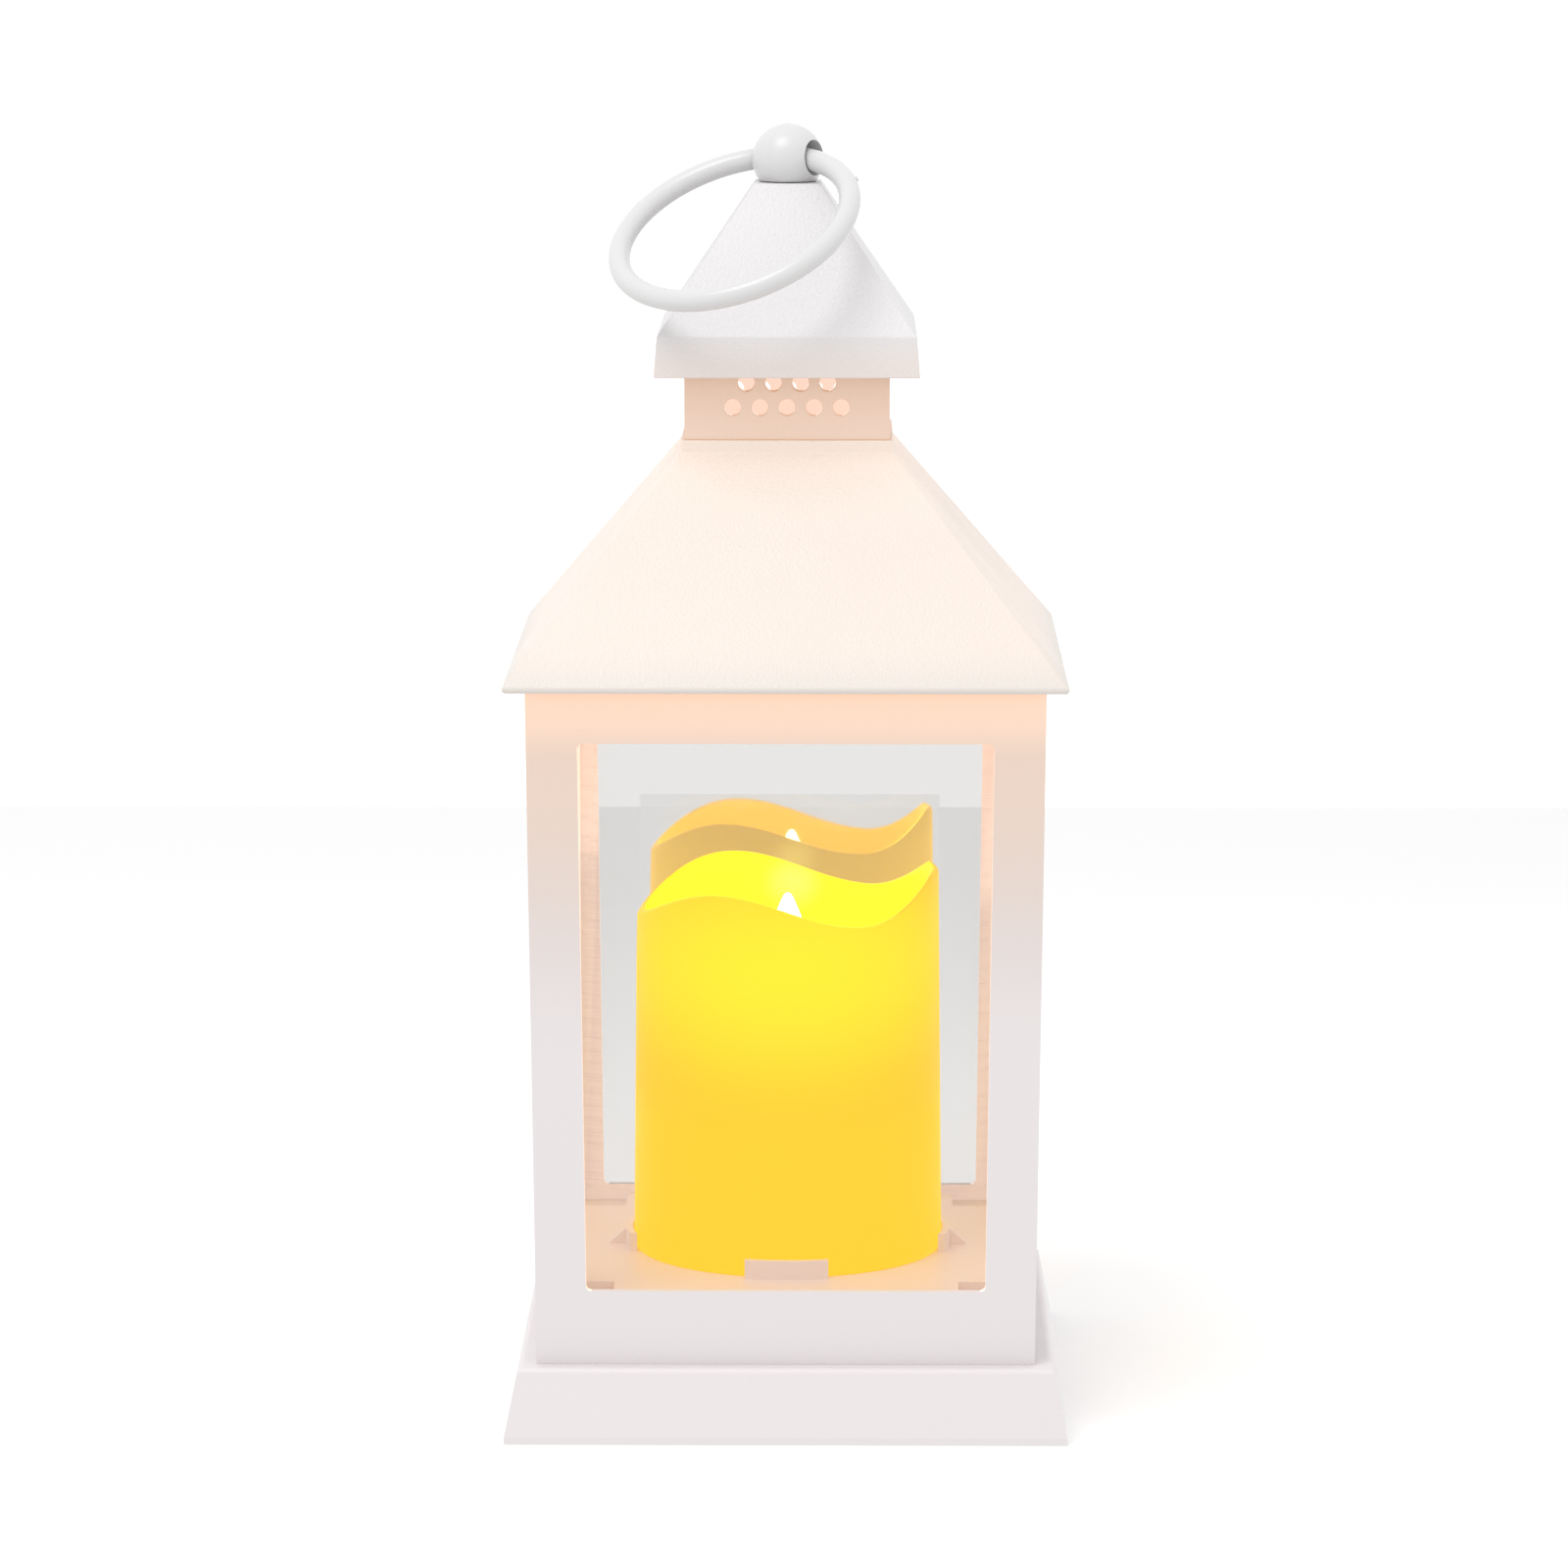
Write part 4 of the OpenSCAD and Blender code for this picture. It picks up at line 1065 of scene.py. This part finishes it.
class LANTERN_OT_electrics(Operator):
    """Finish the contacts, springs, board, timer chip and leads"""
    bl_idname = "lantern.electrics"
    bl_label = "Electrics"

    def execute(self, context):
        nickel = plated("nickel_plate", (0.72, 0.70, 0.66), 0.22)
        dress("contact_plates", nickel, 0.1 * MM)
        dress("contact_springs", nickel)
        green = (0.02, 0.16, 0.06)
        mask = Finish("solder_mask", green, 0.3, Coat_Weight=0.4)
        cells = mask.node("TexBrick", {
            "Vector": mask.place, "Scale": 160.0, "Color1": green,
            "Color2": (0.025, 0.19, 0.07), "Mortar": (0.05, 0.28, 0.11),
            "Mortar Size": 0.04})
        mask.set("Base Color", cells.outputs["Color"])
        mask.gloss(0.25, 0.35, 4 * MM)
        dress("circuit_board", mask.material, 0.1 * MM)
        dress("timer_chip", plain_plastic("chip_black", (0.015, 0.015, 0.016), 0.5), 0.1 * MM)
        dress("red_leads", plain_plastic("lead_red", (0.5, 0.02, 0.015), 0.4))
        dress("black_leads", plain_plastic("lead_black", (0.012, 0.012, 0.012), 0.4))
        return {"FINISHED"}


class LANTERN_OT_stage(Operator):
    """Set up the camera, the pale floor and the soft light"""
    bl_idname = "lantern.stage"
    bl_label = "Stage"

    def aim(self, thing, place, target):
        """Puts a lamp or a camera in its place, turned to the target."""
        thing.location = place
        look = Vector(target) - Vector(place)
        thing.rotation_euler = look.to_track_quat("-Z", "Y").to_euler()

    def execute(self, context):
        scene, stage = context.scene, context.scene.lantern_stage
        scene.view_settings.view_transform = "Standard"
        near, far = 0.15, 0.6               # where the floor turns to its painted, darker shade further back
        bm = bmesh.new()
        bmesh.ops.create_grid(bm, x_segments=1, y_segments=1, size=stage.floor,
                              matrix=moved(0, stage.floor_shift))
        floor = placed("floor", meshed("floor", bm))
        paper = Finish("floor_paper", stage.floor_colour, 0.7)
        paper.gloss(0.6, 0.75, 0.2)
        behind = paper.smooth(paper.axes(paper.place)[1], near, far)
        paper.set("Base Color", paper.mix(behind, stage.floor_colour, stage.floor_painted_far_shade))
        # Light passes through from below, so that the underside can be looked at.
        above = paper.less(paper.node("NewGeometry").outputs["Backfacing"])
        seen = paper.node("LightPath").outputs["Is Camera Ray"]
        paper.seen_through(paper.maths("MULTIPLY", above, seen))
        floor.data.materials.append(paper.material)
        floor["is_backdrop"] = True

        world = bpy.data.worlds.new("white_surround")
        world.use_nodes = True
        sky = world.node_tree.nodes["Background"].inputs
        sky["Color"].default_value = (1, 1, 1, 1)
        sky["Strength"].default_value = stage.surround
        scene.world = world

        light = bpy.data.lights.new("key_light", "AREA")
        light.shape, light.size, light.energy = "DISK", stage.key_size, stage.key
        self.aim(placed("key_light", light), (-0.35, -0.55, 1.25), (0, 0, 0.16))

        camera = placed("camera", bpy.data.cameras.new("camera"))
        camera.data.lens, camera.data.sensor_width = stage.lens, 36
        camera.data.clip_start = 0.01
        self.aim(camera, stage.camera_place, stage.camera_aim)
        scene.camera = camera
        return {"FINISHED"}


OPERATORS = (
    LANTERN_OT_stage, LANTERN_OT_base, LANTERN_OT_body, LANTERN_OT_panes, LANTERN_OT_roof,
    LANTERN_OT_neck, LANTERN_OT_cap, LANTERN_OT_finial, LANTERN_OT_ring, LANTERN_OT_candle,
    LANTERN_OT_screws, LANTERN_OT_battery_case, LANTERN_OT_batteries, LANTERN_OT_electrics,
)
SETTINGS = {"lantern_sizes": LanternSizes, "lantern_looks": LanternLooks,
            "lantern_stage": LanternStage}


class LANTERN_PT_panel(Panel):
    """The lantern's settings and pieces"""
    bl_label = "Candle Lantern"
    bl_idname = "LANTERN_PT_panel"
    bl_space_type = "VIEW_3D"
    bl_region_type = "UI"
    bl_category = "Lantern"

    def draw(self, context):
        for setting, group in SETTINGS.items():
            column = self.layout.column(align=True)
            column.label(text=group.__doc__)
            for key in group.__annotations__:
                column.prop(getattr(context.scene, setting), key)
        column = self.layout.column(align=True)
        for operator in OPERATORS:
            column.operator(operator.bl_idname)


def register():
    for group in SETTINGS.values():
        bpy.utils.register_class(group)
    for setting, group in SETTINGS.items():
        setattr(bpy.types.Scene, setting, PointerProperty(type=group))
    for shown in (*OPERATORS, LANTERN_PT_panel):
        bpy.utils.register_class(shown)


def unregister():
    for shown in (LANTERN_PT_panel, *reversed(OPERATORS)):
        bpy.utils.unregister_class(shown)
    for setting, group in SETTINGS.items():
        delattr(bpy.types.Scene, setting)
        bpy.utils.unregister_class(group)


def main():
    register()
    for operator in OPERATORS:
        area, name = operator.bl_idname.split(".")
        getattr(getattr(bpy.ops, area), name)()
    plain = lambda box: [[float(v) for v in corner] for corner in box]
    {"cad": plain(cad_box), "visual": plain(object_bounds())}


if __name__ == "__main__":
    main()
